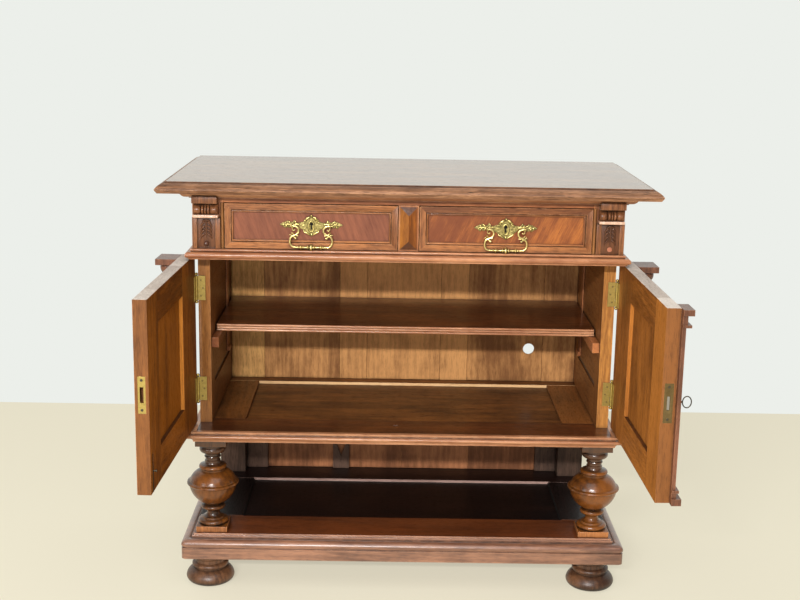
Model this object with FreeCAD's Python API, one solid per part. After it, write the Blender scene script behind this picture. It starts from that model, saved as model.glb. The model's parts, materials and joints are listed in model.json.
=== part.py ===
import FreeCAD, Part
import math
import os

from FreeCAD import Vector

# Parlour cabinet: an open stage on balusters and bun feet, a cupboard with two overlay doors,
# two drawers above it and a moulded top. All sizes are in millimetres.
# X runs to the right, Y to the back, Z up. Sizes below count Y from the plane of the drawer fronts;
# every piece is then moved so that the origin lies under the middle of the cabinet with its doors open.

# Heights, from the ground up
foot_height = 84.0
plinth_height = 60.0
baluster_height = 246.0
floor_thickness = 27.0
cupboard_height = 441.0
waist_thickness = 25.0
drawer_opening_height = 112.0
frieze_height = 29.0
top_thickness = 27.0

# Case
case_width = 1044.0
case_depth = 515.0
cupboard_setback = 75.0
side_thickness = 30.0
back_inset = 20.0
back_thickness = 12.0
back_recess = 1.5

# Top board and the bed moulding under it
top_flat_overhang = 54.0
top_nose = 24.0
bed_height = 18.0
bed_projection = 28.0

# Drawer stage
corner_post_width = 76.0
corner_post_depth = 30.0
stage_side_thickness = 22.0
rail_depth = 20.0
divider_width = 50.0
divider_point = 8.0
divider_border = 4.0
partition_thickness = 18.0
guide_height = 30.0

# Corner consoles
console_width = 68.0
console_depth = 8.0
console_recess = 4.0
console_border_side = 15.0
console_border_low = 7.0
console_ledge_height = 6.0
console_ledge_reach = 12.0
console_panel_height = 76.0
console_cap_height = 16.0
console_cap_reach = 20.0
console_cap_inset = 4.0
reed_count = 5
reed_groove = 1.6
post_bead = 8.0
leaf_height = 50.0
leaf_thickness = 4.0
leaflet_count = 5
ball_radius = 6.0

# Waist board
waist_nose = 17.0
waist_bead = 5.0
waist_bead_height = 7.0

# Cupboard side frames
side_front_stile = 64.0
side_rear_stile = 65.0
side_bottom_rail = 88.0
side_top_rail = 68.0
side_panel_thickness = 8.0
side_panel_recess = 8.0
side_lining_thickness = 8.0
side_slot_height = 15.0
tongue = 8.0
tenon_length = 30.0
tenon_thickness = 10.0
tenon_shoulder = 12.0

# Back of the cupboard
back_stile_width = 94.0
back_muntin_width = 78.0
back_panel_middle = 210.0
cable_hole_radius = 16.0
cable_hole_height = 96.0
cable_hole_inset = 133.0

# Shelf, its battens and the strips on the walls
shelf_height = 221.0
shelf_thickness = 19.0
shelf_setback = 78.0
shelf_gap = 5.0
shelf_reeds = 3
batten_width = 18.0
batten_height = 26.0
batten_setback = 10.0
strip_thickness = 4.0
strip_width = 34.0
strip_low = 108.0
strip_back = 80.0
strip_foot = 12.0

# Cupboard floor and the moulding round it
floor_setback = 6.0
floor_side_member = 112.0
floor_front_member = 104.0
floor_back_member = 57.0
floor_panel_sunk = 8.0
floor_panel_thickness = 10.0
lower_nose = 22.0
lower_fillet = 12.0

# Balusters
baluster_inset = 34.0
baluster_setback = 47.0
abacus_size = 78.0
abacus_height = 17.0
baluster_base_height = 15.0
baluster_ball_radius = 66.0
baluster_neck_radius = 18.0
baluster_collar_radius = 35.0
baluster_ring_radius = 31.0
baluster_foot_radius = 38.0

# Back of the open stage
rear_post_width = 71.0
rear_post_depth = 60.0
lower_stile_width = 58.0
lower_stile_gap = 3.0
lower_stile_thickness = 18.0
lower_rail_height = 60.0
lower_board_count = 4
lower_board_thickness = 8.0
notched_batten_width = 47.0
notched_batten_height = 101.0
notched_batten_left = 200.0
notch_depth = 64.0

# Plinth and feet
plinth_overhang = 11.0
plinth_setback = 2.0
plinth_fillet = 4.0
plinth_fillet_height = 5.0
plinth_board_thickness = 16.0
plinth_nose = 29.0
plinth_fascia_height = 31.0
plinth_rail_thickness = 18.0
plinth_front_member = 124.0
plinth_side_member = 115.0
plinth_back_member = 110.0
plinth_panel_sunk = 6.0
plinth_panel_thickness = 7.0
plinth_panel_bevel = 4.0
plinth_block_size = 80.0
foot_radius = 62.0
foot_neck_radius = 46.0
foot_sole_radius = 40.0
foot_inset = 32.0
left_foot_shift = 7.0
foot_setback = 47.0
rear_foot_setback = 65.0

# Doors
door_thickness = 31.0
door_gap = 4.0
door_meeting_gap = 2.0
door_hinge_stile = 156.0
door_free_stile = 102.0
door_top_rail = 72.0
door_bottom_rail = 79.0
door_panel_recess = 7.0
door_panel_thickness = 8.0
door_field_bevel = 32.0
door_field_rise = 8.0
door_moulding_width = 20.0
door_moulding_rise = 6.0
left_door_open_deg = 92.5
right_door_open_deg = 91.0

# Hinges
pin_outset = 4.0
pin_setback = 2.0
pin_radius = 1.8
pin_clearance = 0.06
knuckle_radius = 3.6
knuckle_count = 5
knuckle_gap = 0.3
leaf_length = 62.0
leaf_width = 22.0
leaf_plate = 1.8
hinge_inset = 86.0
finial_radius = 4.2
hinge_edge_gap = 4.4
screw_head_radius = 2.5
screw_shank_radius = 1.4
screw_length = 14.0
screw_spread = 20.0
screw_stagger = 5.0
screw_margin = 11.0

# Columns on the hinge side of the doors
column_block = 72.0
column_reach = 52.0
column_cap_height = 15.0
column_base_height = 26.0
column_radius = 23.0
column_edge = 2.0

# Centre pilaster on the right door
pilaster_width = 48.0
pilaster_overhang = 12.0
pilaster_reach = 9.0
pilaster_cap_reach = 24.0
pilaster_cap_height = 13.0
pilaster_cap_wider = 6.0
pilaster_neck_height = 20.0
pilaster_neck_reach = 12.0
pilaster_ledge_height = 6.0
pilaster_ledge_reach = 20.0
pilaster_ledge_wider = 5.0
pilaster_foot_reach = 16.0
pilaster_base_reach = 22.0
pilaster_base_height = 15.0
pilaster_overlap_clearance = 0.6
half_ball_radius = 5.0
half_ball_drops = (77.0, 164.0)

# Lock in the right door, strike in the left door, and the flush bolt
lock_height = 229.0
lock_plate_length = 88.0
lock_plate_width = 20.0
plate_thickness = 2.5
lock_case_depth = 40.0
lock_case_height = 60.0
lock_case_thickness = 16.0
lock_bolt_height = 30.0
lock_bolt_thickness = 6.0
lock_bolt_length = 24.0
lock_bolt_sunk = 1.0
lock_bolt_throw = 9.0
lock_slide_clearance = 0.3
key_shank_radius = 2.6
key_clearance = 0.08
key_bit_reach = 8.0
key_bit_width = 2.4
key_bit_length = 4.0
key_bit_room = 1.0
key_bow_height = 26.0
key_bow_reach = 18.0
key_wire_radius = 1.5
strike_length = 82.0
strike_width = 17.0
strike_slot_height = 35.0
strike_slot_width = 8.0
strike_room = 8.0
flush_bolt_inset = 22.0
flush_bolt_width = 8.0
flush_bolt_thickness = 5.0
flush_bolt_length = 66.0
flush_bolt_throw = 14.0
flush_groove_height = 88.0
flush_knob_radius = 3.0
flush_knob_reach = 6.0
flush_knob_height = 49.0
flush_clearance = 0.3
socket_clearance = 1.5

# Drawers
drawer_gap = 1.5
drawer_running_gap = 0.3
drawer_front_thickness = 16.0
drawer_field_sunk = 6.0
drawer_frame_rise = 8.0
drawer_frame_width = 15.0
drawer_groove_width = 1.0
drawer_bead_width = 5.0
drawer_side_thickness = 10.0
drawer_side_height = 92.0
drawer_back_gap = 33.0
drawer_bottom_thickness = 6.0
drawer_bottom_raise = 8.0
drawer_lock_width = 56.0
drawer_lock_height = 40.0
drawer_lock_depth = 9.0

# Drawer handles
handle_raise = 3.0
handle_plate_thickness = 2.5
handle_half_length = 75.0
handle_half_height = 26.0
handle_post_radius = 4.4
handle_post_width = 6.0
handle_post_offset = 46.0
handle_pivot_reach = 14.0
bail_radius = 2.4
bail_upper_bend = 11.5
bail_lower_bend = 13.5
bail_pivot_offset = 41.0
bail_pin_length = 8.0
bail_clearance = 0.1
bail_knop_radius = 6.0
bail_bead_radius = 4.0
bail_bead_offset = 24.0
keyhole_radius = 2.4
keyhole_drop = 8.0
keyhole_slot = 2.6

# Cutters run past what they cut by this much, and outlines close within this distance
over = 10.0
closing = 0.001

# Levels and planes worked out from the sizes above
z_plinth = foot_height
z_stage = z_plinth + plinth_height
z_floor_under = z_stage + baluster_height
z_floor = z_floor_under + floor_thickness
z_waist = z_floor + cupboard_height
z_drawer = z_waist + waist_thickness
z_frieze = z_drawer + drawer_opening_height
z_top_under = z_frieze + frieze_height
case_half = case_width / 2
inner_half = case_half - side_thickness
y_back_face = case_depth - back_inset
opening_half = case_half - corner_post_width
pivot_x = case_half + pin_outset
pivot_y = cupboard_setback - pin_setback
door_inner_y = pivot_y - pin_setback
door_outer_y = door_inner_y - door_thickness
door_reach = pivot_x - door_meeting_gap / 2
door_low = z_floor + door_gap
door_high = z_waist - door_gap
z_lock = z_floor + lock_height
hinge_levels = (door_low + hinge_inset, door_high - hinge_inset)
key_inset = pilaster_width / 2 - pilaster_overhang
baluster_x = case_half - baluster_inset
drawer_length = y_back_face - drawer_back_gap - drawer_field_sunk - drawer_front_thickness
strike_depth = lock_bolt_throw - lock_bolt_sunk - door_meeting_gap + strike_room
front_reach = door_reach + pilaster_overhang + pilaster_cap_wider - pivot_y
frame_shift = Vector(0, (front_reach - case_depth) / 2, 0)


def box(x0, x1, y0, y1, z0, z1):
    """Block between two corners."""
    return Part.makeBox(x1 - x0, y1 - y0, z1 - z0, Vector(x0, y0, z0))


def rod(radius, start, end):
    """Round bar between two points."""
    return Part.makeCylinder(radius, (end - start).Length, start, end - start)


def mirrored(shape):
    """The same piece on the other side of the cabinet."""
    return shape.mirror(Vector(0, 0, 0), Vector(1, 0, 0))


def group(shapes):
    """Separate pieces kept together under one name."""
    return Part.makeCompound([solid for shape in shapes for solid in shape.Solids])


def joined(shapes):
    """Pieces worked from one blank."""
    return shapes[0].multiFuse(shapes[1:]).removeSplitter()


def outline(steps, place):
    """Flat face: a step of two numbers is a line to a point, one of four an arc through its first pair."""
    points = [place(*step[-2:]) for step in steps]
    edges = []
    for start, end, step in zip(points, points[1:], steps[1:]):
        if len(step) == 4:
            edges.append(Part.Arc(start, place(*step[:2]), end).toShape())
        else:
            edges.append(Part.makeLine(start, end))
    if not points[-1].isEqual(points[0], closing):
        edges.append(Part.makeLine(points[-1], points[0]))
    return Part.Face(Part.Wire(edges))


def turned(steps, x, y, z):
    """Lathe work: steps give radius and height above z, from the bottom to the top."""
    closed = [(0, steps[0][-1])] + steps + [(0, steps[-1][-1])]
    face = outline(closed, lambda r, h: Vector(x + r, y, z + h))
    return face.revolve(Vector(x, y, 0), Vector(0, 0, 1), 360)


def moulded_slab(half_width, y_front, y_back, z, profile):
    """Board with a moulded front and sides; profile steps give projection and height above z."""
    reach = half_width + max(step[-2] for step in profile) + over
    low = profile[0][-1]
    high = profile[-1][-1]
    deep = y_back - y_front
    front_steps = [(-deep, low)] + profile + [(-deep, high)]
    front = outline(front_steps, lambda out, up: Vector(-reach, y_front - out, z + up))
    front = front.extrude(Vector(2 * reach, 0, 0))
    side_steps = [(-2 * reach, low)] + profile + [(-2 * reach, high)]
    side = outline(side_steps, lambda out, up: Vector(half_width + out, y_front - reach, z + up))
    side = side.extrude(Vector(0, deep + 2 * reach, 0))
    return front.common(side).common(mirrored(side))


def moulding_runs(half_width, y_front, y_back, z, profile, inward):
    """Moulding round the front and sides in three lengths with mitred corners."""
    height = profile[-1][-1]
    inner = half_width - inward
    ring = moulded_slab(half_width, y_front, y_back, z, profile)
    ring = ring.cut(box(-inner, inner, y_front + inward, y_back + over, z - over, z + height + over))
    corners = [(-2 * half_width, y_front - half_width), (2 * half_width, y_front - half_width)]
    corners.append((0, y_front + half_width))
    mitre = outline(corners, lambda x, y: Vector(x, y, z - over)).extrude(Vector(0, 0, height + 2 * over))
    return [ring.common(mitre)] + ring.cut(mitre).Solids


def mitred_frame(x0, x1, z0, z1, y, profile):
    """Four mitred strips facing the front; profile steps give width from the outer edge and rise."""
    width = max(step[-2] for step in profile)
    rise = max(step[-1] for step in profile) + over
    strips = []
    for z_edge, inward in ((z0, 1), (z1, -1)):
        bar = outline(profile, lambda w, p: Vector(x0, y - p, z_edge + inward * w))
        bar = bar.extrude(Vector(x1 - x0, 0, 0))
        ends = [(x0, z_edge), (x1, z_edge), (x1 - width, z_edge + inward * width)]
        ends.append((x0 + width, z_edge + inward * width))
        mitre = outline(ends, lambda x, h: Vector(x, y - rise, h)).extrude(Vector(0, rise + over, 0))
        strips.append(bar.common(mitre))
    for x_edge, inward in ((x0, 1), (x1, -1)):
        bar = outline(profile, lambda w, p: Vector(x_edge + inward * w, y - p, z0))
        bar = bar.extrude(Vector(0, 0, z1 - z0))
        ends = [(x_edge, z0), (x_edge, z1), (x_edge + inward * width, z1 - width)]
        ends.append((x_edge + inward * width, z0 + width))
        mitre = outline(ends, lambda x, h: Vector(x, y - rise, h)).extrude(Vector(0, rise + over, 0))
        strips.append(bar.common(mitre))
    return strips


def joined_frame(x0, x1, y0, y1, z0, z1, stiles, rails):
    """Two stiles and two rails with tenons; stiles are (left, right) widths, rails (bottom, top) heights."""
    left, right = stiles
    bottom, top = rails
    inner0 = x0 + left
    inner1 = x1 - right
    middle = (y0 + y1) / 2
    half = tenon_thickness / 2
    rail_shapes = []
    for low, high in ((z0, z0 + bottom), (z1 - top, z1)):
        body = box(inner0, inner1, y0, y1, low, high)
        tenon = box(inner0 - tenon_length, inner1 + tenon_length, middle - half, middle + half,
                    low + tenon_shoulder, high - tenon_shoulder)
        rail_shapes.append(joined([body, tenon]))
    stile_shapes = [box(x0, inner0, y0, y1, z0, z1), box(inner1, x1, y0, y1, z0, z1)]
    stile_shapes = [stile.cut(rail_shapes[0]).cut(rail_shapes[1]) for stile in stile_shapes]
    return stile_shapes + rail_shapes


def board_frame(blank, x_open, y_open0, y_open1, z0, z1):
    """Flat frame of front, back and two side members cut from one outline."""
    wide = case_width
    front = blank.common(box(-wide, wide, y_open0 - wide, y_open0, z0, z1))
    back = blank.common(box(-wide, wide, y_open1, y_open1 + wide, z0, z1))
    left = blank.common(box(-wide, -x_open, y_open0, y_open1, z0, z1))
    return [front, back, left, mirrored(left)]


def frustum(x_half0, y00, y01, z0, x_half1, y10, y11, z1):
    """Block whose faces lean from one rectangle at z0 to another at z1."""
    wires = []
    for half, near, far, level in ((x_half0, y00, y01, z0), (x_half1, y10, y11, z1)):
        ring = [Vector(-half, near, level), Vector(half, near, level), Vector(half, far, level)]
        ring.append(Vector(-half, far, level))
        wires.append(Part.makePolygon(ring + ring[:1]))
    return Part.makeLoft(wires, True, True)


def top_board():
    """Top with a fillet, an ovolo out to a sharp nose and an undercut."""
    under = top_nose * 0.75
    nose_level = top_thickness / 3
    fillet = top_thickness - top_thickness / 9
    edge_in = top_nose / 8
    middle = ((edge_in + top_nose) * 0.56, (fillet + nose_level) * 0.57)
    profile = [(under, 0), (top_nose, nose_level), (middle[0], middle[1], edge_in, fillet), (0, fillet)]
    profile.append((0, top_thickness))
    half = case_half + top_flat_overhang
    return moulded_slab(half, -top_flat_overhang, case_depth, z_top_under, profile)


def bed_moulding():
    """Two fillets and a quarter round under the top, mitred round the front corners."""
    fillet = bed_height / 6
    step = bed_projection / 4
    swell = (bed_projection * 0.86, bed_height * 0.5)
    profile = [(0, 0), (step, 0), (step, fillet), (step * 2, fillet)]
    profile += [(swell[0], swell[1], bed_projection, bed_height), (0, bed_height)]
    return group(moulding_runs(case_half, 0, case_depth, z_top_under - bed_height, profile, 0))


def drawer_stage_boards():
    """Corner posts in front, the side boards behind them and the board that closes the back."""
    half = case_half - stage_side_thickness
    post = box(-case_half, -opening_half, 0, corner_post_depth, z_drawer, z_top_under)
    board = box(-case_half, -half, corner_post_depth, case_depth, z_drawer, z_top_under)
    back = box(-half, half, y_back_face, y_back_face + back_thickness, z_drawer, z_top_under)
    return group([post, board, mirrored(post), mirrored(board), back])


def frieze_rail():
    """Rail above the drawers."""
    return box(-opening_half, opening_half, 0, rail_depth, z_frieze, z_top_under)


def diamond_point():
    """Long pyramid with a ridge on the face of the divider."""
    half = divider_width / 2 - divider_border
    low = z_drawer + divider_border
    high = z_frieze - divider_border
    ring = [Vector(-half, 0, low), Vector(half, 0, low), Vector(half, 0, high), Vector(-half, 0, high)]
    tips = [Vector(0, -divider_point, low + half), Vector(0, -divider_point, high - half)]
    faces = [[ring[0], ring[1], ring[2], ring[3]], [ring[0], ring[1], tips[0]], [ring[2], ring[3], tips[1]]]
    faces += [[ring[1], ring[2], tips[1], tips[0]], [ring[3], ring[0], tips[0], tips[1]]]
    shells = [Part.Face(Part.makePolygon(loop + loop[:1])) for loop in faces]
    solid = Part.Solid(Part.makeShell(shells))
    solid.fix(closing, closing, closing)
    return solid


def drawer_divider():
    """Upright between the drawers with its diamond point, and the partition behind it."""
    half = divider_width / 2
    post = box(-half, half, 0, rail_depth, z_drawer, z_frieze)
    thin = partition_thickness / 2
    partition = box(-thin, thin, rail_depth, y_back_face, z_drawer, z_top_under)
    return group([joined([post, diamond_point()]), partition])


def drawer_guides():
    """Strips that keep the drawers straight, beside the case sides and the partition."""
    outer = box(-case_half + stage_side_thickness, -opening_half, corner_post_depth, y_back_face,
                z_drawer, z_drawer + guide_height)
    inner = box(-divider_width / 2, -partition_thickness / 2, rail_depth, y_back_face,
                z_drawer, z_drawer + guide_height)
    return group([outer, inner, mirrored(outer), mirrored(inner)])


def console_body():
    """Left console: sunk panel, ledge, reeded cushion and cap block worked in one piece, and its bead."""
    x0 = -case_half
    x1 = x0 + console_width
    panel_top = z_drawer + console_panel_height
    panel = box(x0, x1, -console_depth, 0, z_drawer, panel_top)
    sink = box(x0 + console_border_side, x1 - console_border_side, -console_depth - over,
               console_recess - console_depth, z_drawer + console_border_low, panel_top - console_border_low)
    ledge_top = panel_top + console_ledge_height
    in0 = x0 + console_cap_inset
    in1 = x1 - console_cap_inset
    ledge = box(in0, in1, -console_depth - console_ledge_reach, 0, panel_top, ledge_top)
    cap_top = z_top_under - bed_height
    cap_low = cap_top - console_cap_height
    cap = box(x0, in1 - console_cap_inset, -console_depth - console_cap_reach, 0, cap_low, cap_top)
    core = box(in0, in1, -console_depth, 0, ledge_top, cap_low)
    swell = -console_depth - console_cap_reach * 0.8
    lean = -console_depth - console_cap_reach * 0.1
    bulge = (swell * 0.85, (ledge_top + cap_low) / 2)
    side = [(0, ledge_top), (lean, ledge_top), (bulge[0], bulge[1], swell, cap_low), (0, cap_low)]
    pitch = (in1 - in0 + reed_groove) / reed_count
    reeds = []
    for index in range(reed_count):
        start = in0 + index * pitch
        reed = outline(side, lambda y, z: Vector(start, y, z)).extrude(Vector(pitch - reed_groove, 0, 0))
        reeds.append(reed)
    return joined([panel.cut(sink), ledge, core, cap] + reeds)


def post_bead_strip():
    """Round strip between the console and the drawer."""
    radius = post_bead / 2
    centre = -opening_half - radius
    strip = rod(radius, Vector(centre, 0, z_drawer), Vector(centre, 0, z_frieze))
    return strip.common(box(centre - post_bead, centre + post_bead, -post_bead, 0, z_drawer, z_frieze))


def left_console():
    """Console and bead on the left corner post."""
    return group([console_body(), post_bead_strip()])


def right_console():
    """Console and bead on the right corner post."""
    return mirrored(left_console())


def leaf_blade(length, width):
    """Pointed leaf lying in the plane of the console panel, its stalk at the origin."""
    half = width / 2
    middle = length * 0.45
    steps = [(0, 0), (half, middle, 0, length), (-half, middle, 0, 0)]
    return outline(steps, lambda x, z: Vector(x, 0, z)).extrude(Vector(0, -leaf_thickness, 0))


def carved_leaf():
    """Leaf ornament of the left console: a middle blade with leaflets to both sides."""
    centre = -case_half + console_width / 2
    foot = z_drawer + console_panel_height - console_border_low - leaf_height
    floor_y = console_recess - console_depth
    blade_width = console_width / 4
    spread_deg = 42
    blades = [leaf_blade(leaf_height, blade_width)]
    for index in range(leaflet_count):
        rise = leaf_height * index / (leaflet_count + 1)
        length = leaf_height * 0.42 * (1 - index / (2 * leaflet_count))
        for turn in (-spread_deg, spread_deg):
            leaflet = leaf_blade(length, blade_width / 2)
            leaflet.rotate(Vector(0, 0, 0), Vector(0, 1, 0), turn)
            leaflet.translate(Vector(0, 0, rise))
            blades.append(leaflet)
    leaf = joined(blades)
    leaf.translate(Vector(centre, floor_y, foot))
    room = box(-case_half + console_border_side, -case_half + console_width - console_border_side,
               floor_y - over, floor_y, z_drawer, foot + leaf_height)
    return leaf.common(room)


def console_carvings():
    """Leaves on both consoles, the small ball on the left and the stump of the lost one on the right."""
    floor_y = console_recess - console_depth
    centre = -case_half + console_width / 2
    level = z_drawer + console_border_low + ball_radius
    ball = Part.makeSphere(ball_radius, Vector(centre, floor_y - ball_radius * 0.6, level))
    room = box(centre - over, centre + over, floor_y - 2 * over, floor_y, level - over, level + over)
    ball = ball.common(room)
    stump_face = floor_y - leaf_thickness / 2
    stump = rod(ball_radius, Vector(-centre, floor_y, level), Vector(-centre, stump_face, level))
    leaf = carved_leaf().cut(ball)
    return group([leaf, ball, mirrored(carved_leaf()).cut(stump), stump])


def waist_board():
    """Board under the drawers; its front and sides are the waist moulding."""
    bead_low = waist_thickness - waist_bead_height
    fillet = waist_thickness / 8
    in_line = waist_nose * 0.55
    nose_mid = (fillet + bead_low) / 2
    bead_mid = bead_low + waist_bead_height / 2
    bead_in = waist_bead * 0.6
    profile = [(in_line, 0), (in_line, fillet), (waist_nose, nose_mid, in_line, bead_low)]
    profile += [(bead_in, bead_low), (waist_bead, bead_mid, bead_in, waist_thickness)]
    return moulded_slab(case_half, -console_depth, case_depth, z_waist, profile)


def side_frame_pieces():
    """Left side frame of the cupboard, laid out along X and then turned to the side."""
    return joined_frame(cupboard_setback, case_depth, 0, side_thickness, z_floor, z_waist,
                        (side_front_stile, side_rear_stile), (side_bottom_rail, side_top_rail))


def side_panel_board():
    """Outer panel of the side, held by its tongues in the frame."""
    return box(cupboard_setback + side_front_stile - tongue, case_depth - side_rear_stile + tongue,
               side_panel_recess, side_panel_recess + side_panel_thickness,
               z_floor + side_bottom_rail - tongue, z_waist - side_top_rail + tongue)


def turned_to_side(shape):
    """Bring a piece laid out along X to the left side of the case."""
    copy = shape.copy()
    copy.rotate(Vector(0, 0, 0), Vector(0, 0, 1), 90)
    flipped = copy.mirror(Vector(0, 0, 0), Vector(1, 0, 0))
    flipped.translate(Vector(-case_half, 0, 0))
    return flipped


def left_side_frame():
    """Stiles and rails of the left side, grooved for the panel and bored for the hinge screws."""
    pieces = [turned_to_side(piece.cut(side_panel_board())) for piece in side_frame_pieces()]
    for screw in case_screws():
        pieces[0] = pieces[0].cut(screw)
    return group(pieces)


def right_side_frame():
    """Stiles and rails of the right side."""
    return mirrored(left_side_frame())


def left_side_panel():
    """Outer panel, and the lining inside that stops short of the bottom rail and leaves a slot."""
    lining = box(cupboard_setback + side_front_stile, case_depth - side_rear_stile,
                 side_thickness - side_lining_thickness, side_thickness,
                 z_floor + side_bottom_rail + side_slot_height, z_waist - side_top_rail)
    return group([turned_to_side(side_panel_board()), turned_to_side(lining)])


def right_side_panel():
    """Panel and lining of the right side."""
    return mirrored(left_side_panel())


def back_uprights():
    """Two outer stiles and two muntins of the cupboard back."""
    y1 = y_back_face + back_thickness
    stile = box(-inner_half, -inner_half + back_stile_width, y_back_face, y1, z_floor, z_waist)
    near = back_panel_middle / 2
    muntin = box(-near - back_muntin_width, -near, y_back_face, y1, z_floor, z_waist)
    return group([stile, muntin, mirrored(muntin), mirrored(stile)])


def back_panel(x0, x1):
    """One board between the uprights, set back a little."""
    y1 = y_back_face + back_thickness - back_recess
    return box(x0, x1, y_back_face + back_recess, y1, z_floor, z_waist)


def plain_back_panels():
    """Left and middle boards of the back."""
    near = back_panel_middle / 2
    left = back_panel(-inner_half + back_stile_width, -near - back_muntin_width)
    return group([left, back_panel(-near, near)])


def holed_back_panel():
    """Right board of the back with its round cable hole."""
    near = back_panel_middle / 2
    board = back_panel(near + back_muntin_width, inner_half - back_stile_width)
    x = inner_half - cable_hole_inset
    z = z_floor + cable_hole_height
    hole = rod(cable_hole_radius, Vector(x, y_back_face - over, z), Vector(x, case_depth + over, z))
    return board.cut(hole)


def shelf():
    """Loose shelf with three reeds along its front edge."""
    z0 = z_floor + shelf_height
    y0 = cupboard_setback + shelf_setback
    reed = shelf_thickness / shelf_reeds
    steps = [(y_back_face - y0 - back_recess, 0), (reed / 2, 0)]
    for index in range(shelf_reeds):
        steps.append((0, reed * (index + 0.5), reed / 2, reed * (index + 1)))
    steps.append((y_back_face - y0 - back_recess, shelf_thickness))
    half = inner_half - shelf_gap
    return outline(steps, lambda y, z: Vector(-half, y0 + y, z0 + z)).extrude(Vector(2 * half, 0, 0))


def left_batten():
    """Batten under the left end of the shelf."""
    z1 = z_floor + shelf_height
    return box(-inner_half, -inner_half + batten_width, cupboard_setback + batten_setback, y_back_face,
               z1 - batten_height, z1)


def left_strip():
    """Thin upright strip on the left wall with a block at its foot, notched for the batten."""
    y1 = y_back_face - strip_back
    low = z_floor + strip_low
    strip = box(-inner_half, -inner_half + strip_thickness, y1 - strip_width, y1, low, z_waist)
    foot = box(-inner_half, -inner_half + batten_width / 2, y1 - strip_width, y1, low, low + strip_foot)
    return joined([strip, foot]).cut(left_batten())


def shelf_battens():
    """Battens and wall strips of both sides."""
    pieces = [left_batten(), left_strip()]
    return group(pieces + [mirrored(piece) for piece in pieces])


def floor_panel():
    """Sunk panel of the cupboard floor with its tongues."""
    half = case_half - floor_side_member + tongue
    y0 = floor_setback + floor_front_member - tongue
    y1 = case_depth - floor_back_member + tongue
    z1 = z_floor - floor_panel_sunk
    return box(-half, half, y0, y1, z1 - floor_panel_thickness, z1)


def flush_bolt_socket():
    """Hole in the floor that takes the flush bolt of the closed left door."""
    x = door_meeting_gap / 2 + flush_bolt_inset
    half = flush_bolt_width / 2 + socket_clearance
    y0 = door_inner_y - flush_bolt_thickness - socket_clearance
    y1 = door_inner_y + socket_clearance
    return box(-x - half, -x + half, y0, y1, z_floor - flush_bolt_throw, z_floor + over)


def floor_frame():
    """Front, back and side members of the cupboard floor."""
    blank = box(-case_half, case_half, floor_setback, case_depth, z_floor_under, z_floor)
    members = board_frame(blank, case_half - floor_side_member, floor_setback + floor_front_member,
                          case_depth - floor_back_member, z_floor_under, z_floor)
    cutters = floor_panel().fuse(flush_bolt_socket())
    return group([member.cut(cutters) for member in members])


def lower_moulding():
    """Moulding round the edge of the cupboard floor: fillet, groove, bead and cove."""
    low_step = lower_nose * 0.36
    bead_low = floor_thickness * 0.4
    bead_high = floor_thickness * 0.7
    neck = lower_nose * 0.75
    cove_mid = (low_step + (neck - low_step) * 0.3, bead_low * 0.65)
    groove = lower_fillet * 0.75
    fillet_low = floor_thickness * 0.83
    profile = [(0, 0), (low_step, 0), (low_step, bead_low * 0.25), (cove_mid[0], cove_mid[1], neck, bead_low)]
    profile.append((lower_nose, (bead_low + bead_high) / 2, neck, bead_high))
    profile += [(groove, bead_high), (groove, fillet_low), (lower_fillet, fillet_low)]
    profile += [(lower_fillet, floor_thickness), (0, floor_thickness)]
    return group(moulding_runs(case_half, floor_setback, case_depth, z_floor_under, profile, 0))


def baluster(x):
    """Turned baluster with a double bowl and a sharp ridge, between two square blocks."""
    half = abacus_size / 2
    base = box(x - half, x + half, baluster_setback - half, baluster_setback + half,
               z_stage, z_stage + baluster_base_height)
    abacus = box(x - half, x + half, baluster_setback - half, baluster_setback + half,
                 z_floor_under - abacus_height, z_floor_under)
    span = baluster_height - baluster_base_height - abacus_height
    profile_parts = 214
    unit = span / profile_parts
    ball = baluster_ball_radius
    neck = baluster_neck_radius
    foot = baluster_foot_radius
    ring = baluster_ring_radius
    collar = baluster_collar_radius
    lip = ball * 0.94
    steps = [(foot * 0.9, 0), (foot, 6 * unit, foot * 0.9, 12 * unit), (foot * 0.72, 13 * unit)]
    steps += [(foot * 0.7, 17 * unit), (neck, 20 * unit, neck * 0.9, 30 * unit), (ring * 0.85, 39 * unit)]
    steps += [(ring, 44 * unit, ring * 0.85, 50 * unit), (neck * 1.2, 53 * unit)]
    steps += [(ball * 0.78, 72 * unit, lip, 102 * unit), (ball, 104 * unit)]
    steps += [(ball, 109 * unit), (lip, 111 * unit)]
    steps += [(ball * 0.82, 127 * unit, collar * 0.95, 140 * unit), (collar * 0.9, 146 * unit)]
    steps += [(collar, 152 * unit, collar * 0.85, 157 * unit), (neck * 1.15, 161 * unit)]
    steps += [(neck * 1.1, 168 * unit), (neck, 170 * unit), (neck, 175 * unit)]
    steps += [(neck * 1.15, 178 * unit, neck, 181 * unit), (neck, 186 * unit), (collar * 0.8, 190 * unit)]
    steps += [(collar * 0.95, 198 * unit, collar * 0.85, 206 * unit), (collar * 0.85, span)]
    spindle = turned(steps, x, baluster_setback, z_stage + baluster_base_height)
    return joined([base, spindle, abacus])


def left_baluster():
    """Baluster under the left front corner."""
    return baluster(-baluster_x)


def right_baluster():
    """Baluster under the right front corner."""
    return baluster(baluster_x)


def rear_posts():
    """Square posts that carry the cupboard at the back."""
    post = box(-case_half, -case_half + rear_post_width, case_depth - rear_post_depth, case_depth,
               z_stage, z_floor_under)
    return group([post, mirrored(post)])


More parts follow.
